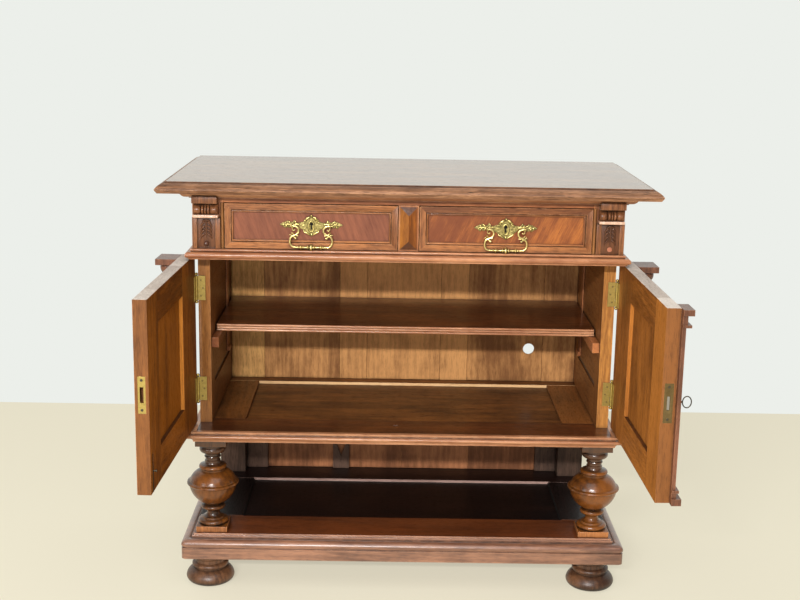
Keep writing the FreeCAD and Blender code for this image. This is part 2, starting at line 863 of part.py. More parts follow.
def lower_back_frame():
    """Stiles and top rail of the open stage's back, and the notched batten over its boards."""
    outer = case_half - rear_post_width - lower_stile_gap
    inner = outer - lower_stile_width
    y0 = y_back_face
    y1 = y0 + lower_stile_thickness
    stile = box(-outer, -inner, y0, y1, z_stage, z_floor_under)
    rail = box(-inner, inner, y0, y1, z_floor_under - lower_rail_height, z_floor_under)
    x0 = -notched_batten_left
    x1 = x0 + notched_batten_width
    depth = lower_stile_thickness - lower_board_thickness
    high = z_stage + notched_batten_height
    corners = [(x0, z_stage), (x1, z_stage), (x1, high), ((x0 + x1) / 2, high - notch_depth), (x0, high)]
    batten = outline(corners, lambda x, z: Vector(x, y0, z)).extrude(Vector(0, depth, 0))
    return group([stile, mirrored(stile), rail, batten])


def lower_back_boards():
    """Bare boards side by side behind the open stage."""
    inner = case_half - rear_post_width - lower_stile_gap - lower_stile_width
    y1 = y_back_face + lower_stile_thickness
    z1 = z_floor_under - lower_rail_height
    width = 2 * inner / lower_board_count
    boards = []
    for index in range(lower_board_count):
        x0 = -inner + index * width
        boards.append(box(x0, x0 + width, y1 - lower_board_thickness, y1, z_stage, z1))
    return group(boards)


def plinth_panel():
    """Sunk panel of the open stage with its tongues."""
    half = case_half + plinth_overhang - plinth_side_member + tongue
    y0 = plinth_setback + plinth_front_member - tongue
    y1 = case_depth - plinth_back_member + tongue
    z1 = z_stage - plinth_panel_sunk
    return box(-half, half, y0, y1, z1 - plinth_panel_thickness, z1)


def plinth_frame():
    """Frame round the sunk panel, with two fillets on its outer edges and a bevel inside."""
    half = case_half + plinth_overhang
    z0 = z_stage - plinth_board_thickness
    profile = [(plinth_fillet, 0), (plinth_fillet, plinth_board_thickness - plinth_fillet_height)]
    profile += [(0, plinth_board_thickness - plinth_fillet_height), (0, plinth_board_thickness)]
    blank = moulded_slab(half, plinth_setback, case_depth, z0, profile)
    x_open = half - plinth_side_member
    y0 = plinth_setback + plinth_front_member
    y1 = case_depth - plinth_back_member
    bevel = plinth_panel_bevel
    lean = frustum(x_open, y0, y1, z_stage - bevel, x_open + bevel, y0 - bevel, y1 + bevel, z_stage)
    members = board_frame(blank, x_open, y0, y1, z0, z_stage)
    return group([member.cut(plinth_panel()).cut(lean) for member in members])


def plinth_fascia():
    """Moulded base rails: flat fascia and a rounded shoulder, mitred at the corners."""
    height = plinth_height - plinth_board_thickness
    shoulder = (plinth_nose * 0.93, plinth_fascia_height + (height - plinth_fascia_height) * 0.62)
    profile = [(plinth_nose, 0), (plinth_nose, plinth_fascia_height)]
    profile += [(shoulder[0], shoulder[1], plinth_nose * 0.55, height), (plinth_fillet, height)]
    return group(moulding_runs(case_half + plinth_overhang, plinth_setback, case_depth, z_plinth, profile,
                               plinth_rail_thickness))


def plinth_blocks():
    """Corner blocks over the feet and the rail at the back."""
    half = case_half + plinth_overhang - plinth_rail_thickness
    z1 = z_stage - plinth_board_thickness
    y0 = plinth_setback + plinth_rail_thickness
    y1 = case_depth - plinth_rail_thickness
    front = box(-half, -half + plinth_block_size, y0, y0 + plinth_block_size, z_plinth, z1)
    rear = box(-half, -half + plinth_block_size, y1 - plinth_block_size, y1, z_plinth, z1)
    rail = box(-half, half, y1, case_depth, z_plinth, z1)
    return group([front, mirrored(front), rear, mirrored(rear), rail])


def bun_foot(x, y):
    """Turned bun foot with two rings at its neck."""
    wide = foot_radius
    neck = foot_neck_radius
    profile_parts = 84
    unit = foot_height / profile_parts
    rise = 24 * unit
    spread = wide - foot_sole_radius
    bend = (spread * spread + rise * rise) / (2 * spread)
    slant = bend * math.sqrt(0.5)
    steps = [(foot_sole_radius, 0), (wide - bend + slant, rise - slant, wide, rise)]
    steps += [(wide * 0.95, 43 * unit, neck * 1.05, 53 * unit), (neck * 0.88, 56 * unit)]
    steps += [(neck * 0.9, 58 * unit), (neck, 62 * unit, neck * 0.93, 67 * unit)]
    steps += [(neck * 0.86, 69 * unit), (neck * 0.86, 72 * unit)]
    steps += [(neck * 0.95, 75 * unit), (neck * 0.95, foot_height)]
    return turned(steps, x, y, 0)


def bun_feet():
    """Feet under the four corners."""
    right = case_half - foot_inset
    left = -right - left_foot_shift
    depths = (foot_setback, case_depth - rear_foot_setback)
    return group([bun_foot(x, y) for x in (left, right) for y in depths])


def knuckle_spans():
    """Heights of the knuckles above the middle of a hinge, lowest first."""
    pitch = leaf_length / knuckle_count
    low = -leaf_length / 2
    return [(low + index * pitch, low + (index + 1) * pitch) for index in range(knuckle_count)]


def hinge_leaf(level, spans, others, facing):
    """Leaf and knuckles on the left pivot; facing is 1 on the case stile and -1 on the closed door."""
    axis = Vector(-pivot_x, pivot_y, level)
    near = pivot_y + facing * (pin_setback - leaf_plate)
    far = pivot_y + facing * pin_setback
    plate = box(-pivot_x, -pivot_x + leaf_width, min(near, far), max(near, far),
                level - leaf_length / 2, level + leaf_length / 2)
    for low, high in others:
        room = rod(knuckle_radius + knuckle_gap, axis + Vector(0, 0, low), axis + Vector(0, 0, high))
        plate = plate.cut(room)
    knuckles = []
    for low, high in spans:
        start = axis + Vector(0, 0, low + knuckle_gap / 2)
        knuckles.append(rod(knuckle_radius, start, axis + Vector(0, 0, high - knuckle_gap / 2)))
    return joined([plate] + knuckles)


def hinge_pin(level):
    """Pin with a ball finial at both ends."""
    axis = Vector(-pivot_x, pivot_y, level)
    half = leaf_length / 2 + finial_radius * 0.6
    pin = rod(pin_radius, axis - Vector(0, 0, half), axis + Vector(0, 0, half))
    rise = Vector(0, 0, half + finial_radius * 0.4)
    balls = [Part.makeSphere(finial_radius, axis + rise * end) for end in (-1, 1)]
    return joined([pin] + balls)


def screws_for(level, facing):
    """Three staggered screws through a leaf, as separate pieces."""
    surface = pivot_y + facing * (pin_setback - leaf_plate)
    seat = pivot_y + facing * pin_setback
    screws = []
    for index in (-1, 0, 1):
        x = -pivot_x + screw_margin + (screw_stagger if index == 0 else 0)
        z = level + index * screw_spread
        head = rod(screw_head_radius, Vector(x, surface, z), Vector(x, seat, z))
        shank = rod(screw_shank_radius, Vector(x, seat, z), Vector(x, seat + facing * screw_length, z))
        screws.append(joined([head, shank]))
    return screws


def case_screws():
    """Screws of both left hinges in the case stile."""
    return [screw for level in hinge_levels for screw in screws_for(level, 1)]


def door_screws():
    """Screws of both left hinges in the door stile."""
    return [screw for level in hinge_levels for screw in screws_for(level, -1)]


def case_hinge_leaves():
    """Leaves, pins and screws of all four hinges on the case stiles."""
    spans = knuckle_spans()
    pieces = []
    for level in hinge_levels:
        leaf = joined([hinge_leaf(level, spans[::2], spans[1::2], 1), hinge_pin(level)])
        for screw in screws_for(level, 1):
            leaf = leaf.cut(screw)
        pieces.append(leaf)
    pieces += case_screws()
    return group(pieces + [mirrored(piece) for piece in pieces])


def closed_door_hinges():
    """Leaves and screws on the closed left door, bored for the pins."""
    spans = knuckle_spans()
    pieces = []
    for level in hinge_levels:
        axis = Vector(-pivot_x, pivot_y, level)
        reach = Vector(0, 0, leaf_length)
        bore = rod(pin_radius + pin_clearance, axis - reach, axis + reach)
        leaf = hinge_leaf(level, spans[1::2], spans[::2], -1).cut(bore)
        for screw in screws_for(level, -1):
            leaf = leaf.cut(screw)
        pieces.append(leaf)
    return group(pieces + door_screws())


def opened(shape, side):
    """Swing a closed door piece of the left or right door to its place at rest."""
    turned_shape = shape.copy()
    if side == "left":
        turned_shape.rotate(Vector(-pivot_x, pivot_y, 0), Vector(0, 0, 1), -left_door_open_deg)
    else:
        turned_shape.rotate(Vector(pivot_x, pivot_y, 0), Vector(0, 0, 1), right_door_open_deg)
    return turned_shape


def door_x(distance):
    """X of a point of the closed left door at a distance from its hinge axis."""
    return -pivot_x + distance


def door_panel_opening():
    """Edges of the panel opening of the closed left door: left, right, bottom and top."""
    left = door_x(hinge_edge_gap + door_hinge_stile)
    right = door_x(door_reach - door_free_stile)
    return left, right, door_low + door_bottom_rail, door_high - door_top_rail


def closed_door_panel():
    """Panel with a raised field outside, flat and sunk inside, held by its tongues."""
    x0, x1, z0, z1 = door_panel_opening()
    y1 = door_inner_y - door_panel_recess
    y0 = y1 - door_panel_thickness
    board = box(x0 - tongue, x1 + tongue, y0, y1, z0 - tongue, z1 + tongue)
    lower = Part.makePolygon([Vector(x0, y0, z0), Vector(x1, y0, z0), Vector(x1, y0, z1), Vector(x0, y0, z1),
                              Vector(x0, y0, z0)])
    b = door_field_bevel
    y_field = y0 - door_field_rise
    upper = Part.makePolygon([Vector(x0 + b, y_field, z0 + b), Vector(x1 - b, y_field, z0 + b),
                              Vector(x1 - b, y_field, z1 - b), Vector(x0 + b, y_field, z1 - b),
                              Vector(x0 + b, y_field, z0 + b)])
    return joined([board, Part.makeLoft([lower, upper], True, True)])


def closed_door_frame():
    """Stiles and rails of the closed left door, grooved for the panel and bored for the hinge screws."""
    pieces = joined_frame(door_x(hinge_edge_gap), door_x(door_reach), door_outer_y, door_inner_y,
                          door_low, door_high, (door_hinge_stile, door_free_stile),
                          (door_bottom_rail, door_top_rail))
    pieces = [piece.cut(closed_door_panel()) for piece in pieces]
    for screw in door_screws():
        pieces[0] = pieces[0].cut(screw)
    return pieces


def closed_door_moulding():
    """Mitred moulding round the panel opening on the outer face."""
    x0, x1, z0, z1 = door_panel_opening()
    width = door_moulding_width
    rise = door_moulding_rise
    profile = [(0, 0), (0, rise / 3), (width * 0.3, rise, width * 0.6, rise * 0.8)]
    profile += [(width, rise / 3), (width, 0)]
    return mitred_frame(x0 - width, x1 + width, z0 - width, z1 + width, door_outer_y, profile)


def strike_recess():
    """Space for the strike plate in the free edge of the closed left door."""
    x1 = door_x(door_reach)
    y = (door_outer_y + door_inner_y) / 2
    return box(x1 - plate_thickness, x1 + over, y - strike_width / 2, y + strike_width / 2,
               z_lock - strike_length / 2, z_lock + strike_length / 2)


def strike_slot(depth):
    """Slot for the lock bolt in the free edge of the closed left door."""
    x1 = door_x(door_reach)
    y = (door_outer_y + door_inner_y) / 2
    return box(x1 - depth, x1 + over, y - strike_slot_width / 2, y + strike_slot_width / 2,
               z_lock - strike_slot_height / 2, z_lock + strike_slot_height / 2)


def flush_groove():
    """Groove for the flush bolt in the inner face of the closed left door."""
    x = door_x(door_reach - flush_bolt_inset)
    half = flush_bolt_width / 2 + flush_clearance
    return box(x - half, x + half, door_inner_y - flush_bolt_thickness - flush_clearance, door_inner_y + over,
               door_low - over, door_low + flush_groove_height)


def left_door_frame():
    """Left door frame with its strike mortise and bolt groove, and the moulding outside."""
    pieces = closed_door_frame()
    pieces[1] = pieces[1].cut(strike_recess()).cut(strike_slot(strike_depth)).cut(flush_groove())
    pieces[2] = pieces[2].cut(flush_groove())
    return opened(group(pieces + closed_door_moulding()), "left")


def left_door_panel():
    """Panel of the left door."""
    return opened(closed_door_panel(), "left")


def strike_plate():
    """Brass strike plate on the free edge of the left door."""
    x1 = door_x(door_reach)
    plate = strike_recess().common(box(x1 - over, x1, -case_depth, case_depth, 0, 2 * z_lock))
    return opened(plate.cut(strike_slot(over)), "left")


def flush_bolt():
    """Sliding bolt with its knob at the foot of the left door."""
    x = door_x(door_reach - flush_bolt_inset)
    half = flush_bolt_width / 2
    y1 = door_inner_y
    y0 = y1 - flush_bolt_thickness
    bar = box(x - half, x + half, y0, y1, door_low, door_low + flush_bolt_length)
    z = door_low + flush_knob_height
    stem = rod(flush_knob_radius * 0.6, Vector(x, y1, z), Vector(x, y1 + flush_knob_reach, z))
    knob = Part.makeSphere(flush_knob_radius, Vector(x, y1 + flush_knob_reach, z))
    return opened(joined([bar, stem, knob]), "left")


def closed_column():
    """Turned column between a cap and a base block, on the outer face of the closed left door."""
    x0 = door_x(hinge_edge_gap + column_edge)
    x1 = x0 + column_block
    y0 = door_outer_y - column_reach
    cap = box(x0, x1, y0, door_outer_y, door_high - column_cap_height, door_high)
    base = box(x0, x1, y0, door_outer_y, door_low, door_low + column_base_height)
    low = door_low + column_base_height
    span = door_high - column_cap_height - low
    wide = column_radius
    slim = wide * 0.55
    profile_parts = 100
    unit = span / profile_parts
    steps = [(wide * 0.9, 0), (wide, 1.5 * unit, wide * 0.9, 3 * unit), (slim, 5 * unit), (slim, 8 * unit)]
    steps += [(wide * 0.8, 9 * unit, slim * 1.1, 11 * unit), (wide * 1.05, 24 * unit, slim, 40 * unit)]
    steps += [(slim * 1.4, 42 * unit, slim, 44 * unit), (wide * 0.85, 60 * unit, slim, 86 * unit)]
    steps += [(slim * 1.5, 88 * unit, slim, 90 * unit), (slim, 93 * unit), (wide * 0.8, 95 * unit)]
    steps += [(wide * 0.9, 97.5 * unit, wide * 0.8, span)]
    shaft = turned(steps, (x0 + x1) / 2, (y0 + door_outer_y) / 2, low)
    return joined([base, shaft, cap])


def left_column():
    """Column of the left door."""
    return opened(closed_column(), "left")


def left_door_hinges():
    """Hinge leaves on the left door."""
    return opened(closed_door_hinges(), "left")


def lock_mortise(grow):
    """Space of the lock case in the free stile of the closed left door layout."""
    x1 = door_x(door_reach) - plate_thickness
    y = (door_outer_y + door_inner_y) / 2
    half = lock_case_thickness / 2
    return box(x1 - lock_case_depth, x1 + grow, y - half, y + half,
               z_lock - lock_case_height / 2, z_lock + lock_case_height / 2)


def lock_plate_recess():
    """Space of the lock's face plate in the free edge."""
    x1 = door_x(door_reach)
    y = (door_outer_y + door_inner_y) / 2
    return box(x1 - plate_thickness, x1, y - lock_plate_width / 2, y + lock_plate_width / 2,
               z_lock - lock_plate_length / 2, z_lock + lock_plate_length / 2)


def key_axis(y):
    """Point on the axis of the key in the closed left door layout."""
    return Vector(door_x(door_reach - key_inset), y, z_lock)


def key_bore():
    """Hole for the key through the pilaster and the stile into the lock."""
    start = key_axis(door_outer_y - pilaster_cap_reach)
    return rod(key_shank_radius + key_clearance, start, key_axis(door_outer_y + door_thickness / 2))


def right_door_frame():
    """Right door frame with the mortise of its lock, and the moulding outside."""
    pieces = closed_door_frame()
    pieces[1] = pieces[1].cut(lock_mortise(plate_thickness)).cut(lock_plate_recess()).cut(key_bore())
    return opened(mirrored(group(pieces + closed_door_moulding())), "right")


def right_door_panel():
    """Panel of the right door."""
    return opened(mirrored(closed_door_panel()), "right")


def right_column():
    """Column of the right door."""
    return opened(mirrored(closed_column()), "right")


def right_door_hinges():
    """Hinge leaves on the right door."""
    return opened(mirrored(closed_door_hinges()), "right")


def pilaster_block(half, reach, low, high):
    """One square member of the pilaster, centred on the key axis."""
    x = key_axis(0).x
    return box(x - half, x + half, door_outer_y - reach, door_outer_y, low, high)


def centre_pilaster():
    """Pilaster that covers the meeting of the doors: cap, neck, ledges, shaft with half balls and base."""
    half = pilaster_width / 2
    wide = half + pilaster_cap_wider
    ledge = half + pilaster_ledge_wider
    cap_low = door_high - pilaster_cap_height
    neck_low = cap_low - pilaster_neck_height
    ledge_low = neck_low - pilaster_ledge_height
    base_high = door_low + pilaster_base_height
    foot_high = base_high + pilaster_cap_height
    shaft_low = foot_high + pilaster_ledge_height
    blocks = [pilaster_block(wide, pilaster_cap_reach, cap_low, door_high)]
    blocks.append(pilaster_block(half, pilaster_neck_reach, neck_low, cap_low))
    blocks.append(pilaster_block(ledge, pilaster_ledge_reach, ledge_low, neck_low))
    blocks.append(pilaster_block(half, pilaster_reach, shaft_low, ledge_low))
    blocks.append(pilaster_block(ledge, pilaster_foot_reach, foot_high, shaft_low))
    blocks.append(pilaster_block(half, pilaster_neck_reach, base_high, foot_high))
    blocks.append(pilaster_block(wide, pilaster_base_reach, door_low, base_high))
    face = door_outer_y - pilaster_reach
    for drop in half_ball_drops:
        blocks.append(Part.makeSphere(half_ball_radius, Vector(key_axis(0).x, face, door_high - drop)))
    edge = door_x(door_reach)
    gap = pilaster_overlap_clearance
    relief = box(edge - gap, edge + case_half, door_outer_y - gap, door_outer_y + over,
                 door_low - over, door_high + over)
    solid = joined(blocks).cut(relief).cut(key_bore())
    return opened(mirrored(solid), "right")


def bolt_space(clearance, reach):
    """Bar of the lock bolt, or the room it slides in, in the closed left door layout."""
    x1 = door_x(door_reach) - lock_bolt_sunk
    x0 = x1 - lock_bolt_length - clearance
    y = (door_outer_y + door_inner_y) / 2
    half = lock_bolt_thickness / 2 + clearance
    tall = lock_bolt_height / 2 + clearance
    return box(x0, x1 + reach, y - half, y + half, z_lock - tall, z_lock + tall)


def bit_y():
    """Y of the outer side of the key bit, just in front of the bolt."""
    bolt_face = (door_outer_y + door_inner_y) / 2 - lock_bolt_thickness / 2
    return bolt_face - 2 * lock_slide_clearance - key_bit_length


def door_lock():
    """Lock case and face plate with room for the bolt, the key and its bit."""
    room = rod(key_bit_reach + key_bit_room, key_axis(bit_y() - lock_slide_clearance),
               key_axis(bit_y() + key_bit_length + lock_slide_clearance))
    body = joined([lock_mortise(0), lock_plate_recess()])
    body = body.cut(bolt_space(lock_slide_clearance, over)).cut(key_bore()).cut(room)
    return opened(mirrored(body), "right")


def lock_bolt():
    """Bolt of the door lock, drawn back."""
    return opened(mirrored(bolt_space(0, 0)), "right")


def key_bow(y):
    """Long ring of the key, standing out from y."""
    round_end = key_bow_reach / 2 - key_wire_radius
    straight = key_bow_height / 2 - key_wire_radius - round_end
    centre = key_axis(y - key_bow_reach / 2)

    def at(out, up):
        return centre + Vector(0, -out, up)

    near = Part.makeLine(at(-round_end, -straight), at(-round_end, straight))
    top = Part.Arc(at(-round_end, straight), at(0, straight + round_end), at(round_end, straight)).toShape()
    far = Part.makeLine(at(round_end, straight), at(round_end, -straight))
    turn = at(0, -straight - round_end)
    low = Part.Arc(at(round_end, -straight), turn, at(-round_end, -straight)).toShape()
    section = Part.Wire(Part.makeCircle(key_wire_radius, at(-round_end, -straight), Vector(0, 0, 1)))
    return Part.Wire([near, top, far, low]).makePipeShell([section], True, False)


def door_key():
    """Key with a ring bow, a shank and its bit inside the lock."""
    face = door_outer_y - pilaster_reach
    tip = bit_y() + key_bit_length
    shank = rod(key_shank_radius, key_axis(face - 3 * key_wire_radius), key_axis(tip))
    bit = box(key_axis(0).x - key_bit_width / 2, key_axis(0).x + key_bit_width / 2, bit_y(), tip,
              z_lock - key_bit_reach, z_lock)
    return opened(mirrored(joined([shank, bit, key_bow(face - key_wire_radius)])), "right")


def drawer_span():
    """Left and right edges of the left drawer front."""
    return -opening_half + drawer_gap, -divider_width / 2 - drawer_gap


def drawer_levels():
    """Lower and upper edges of the drawer fronts."""
    return z_drawer + drawer_gap, z_frieze - drawer_gap


def handle_centre():
    """Middle of the left drawer's handle plate on the sunk field."""
    x0, x1 = drawer_span()
    z0, z1 = drawer_levels()
    return Vector((x0 + x1) / 2, drawer_field_sunk, (z0 + z1) / 2 + handle_raise)


def keyhole(depth0, depth1):
    """Keyhole of the left drawer between two depths."""
    c = handle_centre()
    slot = keyhole_slot / 2
    round_part = rod(keyhole_radius, Vector(c.x, depth0, c.z), Vector(c.x, depth1, c.z))
    return round_part.fuse(box(c.x - slot, c.x + slot, depth0, depth1, c.z - keyhole_drop, c.z))


def left_drawer_front():
    """Drawer front: board with a sunk field, and a mitred frame with an inner bead."""
    x0, x1 = drawer_span()
    z0, z1 = drawer_levels()
    y0 = drawer_field_sunk
    y1 = y0 + drawer_front_thickness
    board = box(x0, x1, y0, y1, z0, z1).cut(keyhole(y0 - over, y1 + over))
    w = drawer_frame_width
    rise = drawer_frame_rise
    low = rise * 0.4
    bead = w + drawer_groove_width
    end = bead + drawer_bead_width
    profile = [(0, 0), (0, rise), (w, rise), (w + drawer_groove_width / 2, low), (bead, low)]
    profile += [((bead + end) / 2, rise * 0.75, end, low), (end, 0)]
    return group([board] + mitred_frame(x0, x1, z0, z1, y0, profile))


def drawer_bottom_space():
    """Bottom of the left drawer with its tongues."""
    x0, x1 = drawer_span()
    y0 = drawer_field_sunk + drawer_front_thickness
    z0 = z_drawer + drawer_running_gap + drawer_bottom_raise
    half = drawer_side_thickness / 2
    return box(x0 + half, x1 - half, y0, y0 + drawer_length - half, z0, z0 + drawer_bottom_thickness)


def left_drawer_box():
    """Sides and back of the left drawer."""
    x0, x1 = drawer_span()
    t = drawer_side_thickness
    y0 = drawer_field_sunk + drawer_front_thickness
    y1 = y0 + drawer_length
    z0 = z_drawer + drawer_running_gap
    z1 = z0 + drawer_side_height
    walls = [box(x0, x0 + t, y0, y1, z0, z1), box(x1 - t, x1, y0, y1, z0, z1)]
    walls.append(box(x0 + t, x1 - t, y1 - t, y1, z0, z1))
    return group([wall.cut(drawer_bottom_space()) for wall in walls])


def left_drawer_bottom():
    """Bottom board of the left drawer."""
    return drawer_bottom_space()


def left_drawer_lock():
    """Lock case inside the left drawer front."""
    c = handle_centre()
    y0 = drawer_field_sunk + drawer_front_thickness
    half = drawer_lock_width / 2
    tall = drawer_lock_height / 2
    case = box(c.x - half, c.x + half, y0, y0 + drawer_lock_depth, c.z - tall, c.z + tall)
    return case.cut(keyhole(y0 - over, y0 + drawer_lock_depth / 2))


def pivot_point(side):
    """Point on the bail's pivot axis at its left or right post."""
    c = handle_centre()
    return Vector(c.x + side * handle_post_offset, c.y - handle_pivot_reach, c.z)


def left_handle_plate():
    """Cast plate with a shield and leaf ends, and the two posts that carry the bail."""
    c = handle_centre()
    long = handle_half_length
    tall = handle_half_height
    upper = [(long, 0), (long * 0.78, tall * 0.42), (long * 0.66, tall * 0.2), (long * 0.52, tall * 0.56)]
    upper += [(long * 0.4, tall * 0.16), (long * 0.24, tall * 0.55), (long * 0.12, tall * 0.75), (0, tall)]
    lower = [(-x, -z) for x, z in upper]
    steps = upper + [(-x, z) for x, z in upper[-2::-1]] + lower[1:] + [(-x, z) for x, z in lower[-2:0:-1]]
    plate = outline(steps, lambda x, z: Vector(c.x + x, c.y, c.z + z))
    plate = plate.extrude(Vector(0, -handle_plate_thickness, 0))
    plate = plate.cut(keyhole(c.y - over, c.y + over))
    round_end = handle_post_radius
    reach = handle_pivot_reach
    lug = [(0, -round_end), (reach, -round_end), (reach + round_end, 0, reach, round_end), (0, round_end)]
    posts = []
    for side in (-1, 1):
        start = pivot_point(side).x - handle_post_width / 2
        post = outline(lug, lambda out, z: Vector(start, c.y - out, c.z + z))
        posts.append(post.extrude(Vector(handle_post_width, 0, 0)))
    body = joined([plate] + posts)
    past = Vector(over, 0, 0)
    return body.cut(rod(bail_radius + bail_clearance, pivot_point(-1) - past, pivot_point(1) + past))


def left_handle_bail():
    """Hanging bail: two pins, S-shaped legs, and a bar with a knop and beads."""
    c = handle_centre()
    y = c.y - handle_pivot_reach
    mid = c.z - 2 * bail_upper_bend
    low = mid - 2 * bail_lower_bend

    def at(x, z):
        return Vector(c.x + x, y, z)

    def leg(side):
        x = side * bail_pivot_offset
        pin = Part.makeLine(at(x + side * bail_pin_length, c.z), at(x, c.z))
        inward = at(x - side * bail_upper_bend, c.z - bail_upper_bend)
        outward = at(x + side * bail_lower_bend, mid - bail_lower_bend)
        upper = Part.Arc(at(x, c.z), inward, at(x, mid)).toShape()
        lower = Part.Arc(at(x, mid), outward, at(x, low)).toShape()
        return [pin, upper, lower]

    left = leg(-1)
    right = leg(1)
    bar = Part.makeLine(at(-bail_pivot_offset, low), at(bail_pivot_offset, low))
    path = Part.Wire(left + [bar] + right[::-1])
    start = at(-bail_pivot_offset - bail_pin_length, c.z)
    section = Part.Wire(Part.makeCircle(bail_radius, start, Vector(1, 0, 0)))
    wire = path.makePipeShell([section], True, False)
    along = Vector(1, 0, 0)
    swells = [Part.makeSphere(bail_knop_radius, at(0, low), along)]
    swells += [Part.makeSphere(bail_bead_radius, at(side * bail_bead_offset, low), along) for side in (-1, 1)]
    return joined([wire] + swells)


def mirror_of(build):
    """Builder of the same piece for the right drawer."""
    return lambda: mirrored(build())


PIECES = {
    "top_board": top_board,
    "bed_moulding": bed_moulding,
    "drawer_stage_boards": drawer_stage_boards,
    "frieze_rail": frieze_rail,
    "drawer_divider": drawer_divider,
    "drawer_guides": drawer_guides,
    "left_console": left_console,
    "right_console": right_console,
    "console_carvings": console_carvings,
    "waist_board": waist_board,
    "left_side_frame": left_side_frame,
    "right_side_frame": right_side_frame,
    "left_side_panel": left_side_panel,
    "right_side_panel": right_side_panel,
    "back_uprights": back_uprights,
    "plain_back_panels": plain_back_panels,
    "holed_back_panel": holed_back_panel,
    "shelf": shelf,
    "shelf_battens": shelf_battens,
    "floor_frame": floor_frame,
    "floor_panel": floor_panel,
    "lower_moulding": lower_moulding,
    "left_baluster": left_baluster,
    "right_baluster": right_baluster,
    "rear_posts": rear_posts,
    "lower_back_frame": lower_back_frame,
    "lower_back_boards": lower_back_boards,
    "plinth_frame": plinth_frame,
    "plinth_panel": plinth_panel,
    "plinth_fascia": plinth_fascia,
    "plinth_blocks": plinth_blocks,
    "bun_feet": bun_feet,
    "case_hinge_leaves": case_hinge_leaves,
    "left_door_frame": left_door_frame,
    "left_door_panel": left_door_panel,
    "left_column": left_column,
    "left_door_hinges": left_door_hinges,
    "strike_plate": strike_plate,
    "flush_bolt": flush_bolt,
    "right_door_frame": right_door_frame,
    "right_door_panel": right_door_panel,
    "right_column": right_column,
    "right_door_hinges": right_door_hinges,
    "centre_pilaster": centre_pilaster,
    "door_lock": door_lock,
    "lock_bolt": lock_bolt,
    "door_key": door_key,
    "left_drawer_front": left_drawer_front,
    "left_drawer_box": left_drawer_box,
    "left_drawer_bottom": left_drawer_bottom,
    "left_drawer_lock": left_drawer_lock,
    "left_handle_plate": left_handle_plate,
    "left_handle_bail": left_handle_bail,
    "right_drawer_front": mirror_of(left_drawer_front),
    "right_drawer_box": mirror_of(left_drawer_box),
    "right_drawer_bottom": mirror_of(left_drawer_bottom),
    "right_drawer_lock": mirror_of(left_drawer_lock),
    "right_handle_plate": mirror_of(left_handle_plate),
    "right_handle_bail": mirror_of(left_handle_bail),
}


def main():
    """Write every piece at its place."""
    os.makedirs("parts", exist_ok=True)
    for name, build in PIECES.items():
        shape = build()
        shape.translate(frame_shift)
        shape.exportStep(f"parts/{name}.step")


main()
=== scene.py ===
import json
import logging
import math
import random
from contextlib import contextmanager
from dataclasses import dataclass, field
from enum import Enum
from typing import Callable, Iterator, Optional, Sequence, Union

import bpy
import numpy as np
from mathutils import Matrix, Vector


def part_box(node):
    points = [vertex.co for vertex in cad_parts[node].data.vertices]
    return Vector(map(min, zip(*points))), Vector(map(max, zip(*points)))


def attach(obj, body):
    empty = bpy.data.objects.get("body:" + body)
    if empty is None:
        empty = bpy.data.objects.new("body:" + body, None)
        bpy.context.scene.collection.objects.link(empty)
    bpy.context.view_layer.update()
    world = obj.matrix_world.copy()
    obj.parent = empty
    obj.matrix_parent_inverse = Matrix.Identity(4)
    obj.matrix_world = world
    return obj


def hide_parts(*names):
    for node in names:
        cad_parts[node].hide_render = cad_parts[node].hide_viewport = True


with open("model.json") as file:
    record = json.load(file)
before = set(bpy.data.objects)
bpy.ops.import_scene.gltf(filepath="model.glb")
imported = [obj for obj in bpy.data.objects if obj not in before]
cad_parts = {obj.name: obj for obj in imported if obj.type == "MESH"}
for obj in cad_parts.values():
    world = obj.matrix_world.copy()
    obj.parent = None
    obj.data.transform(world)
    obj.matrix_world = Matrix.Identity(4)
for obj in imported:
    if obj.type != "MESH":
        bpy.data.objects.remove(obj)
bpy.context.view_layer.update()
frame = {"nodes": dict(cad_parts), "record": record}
log = logging.getLogger("parlour_cabinet")

Colour = tuple[int, int, int]
Socket = bpy.types.NodeSocket
Piece = bpy.types.Object
Feed = Union[Socket, float, tuple, Vector]
Point = tuple[float, float, float]
Pair = tuple[float, float]
MM = 0.001
EDGE_ANGLE = 32.0
BLOCK_ANGLE = 40.0
LATHE_ANGLE = 38.0
REED_ANGLE = 50.0
WELD = 0.001 * MM
TWELFTHS = [math.radians(angle) for angle in range(0, 360, 30)]


class Along(Enum):
    """Which way the grain of a board runs."""

    LONGEST = "longest"
    ACROSS = "across"
    DEEP = "deep"
    UP = "up"
    LEANING_LEFT = "leaning left"
    LEANING_RIGHT = "leaning right"


class Side(Enum):
    """Left or right half of the cabinet, as a sign of X."""

    LEFT = -1
    RIGHT = 1

    @property
    def word(self) -> str:
        """The side as it stands in node names."""
        return self.name.lower()


def mm(*values: float) -> tuple[float, ...]:
    """Turn millimetres into metres."""
    return tuple(value * MM for value in values)


def linear(colour: Colour) -> tuple[float, float, float, float]:
    """Turn a colour as seen on a screen into the values a shader takes.

    Args:
        colour: Red, green and blue from 0 to 255.

    Returns:
        Linear red, green, blue and full alpha.
    """
    steps = [value / 255 for value in colour]
    return (*[s / 12.92 if s <= 0.04045 else ((s + 0.055) / 1.055) ** 2.4 for s in steps], 1.0)


def pick(*objects: Piece) -> None:
    """Select only these objects and make the last one active.

    Args:
        objects: What the next operators act on.
    """
    bpy.ops.object.select_all(action="DESELECT")
    for obj in objects:
        obj.select_set(True)
    bpy.context.view_layer.objects.active = objects[-1]


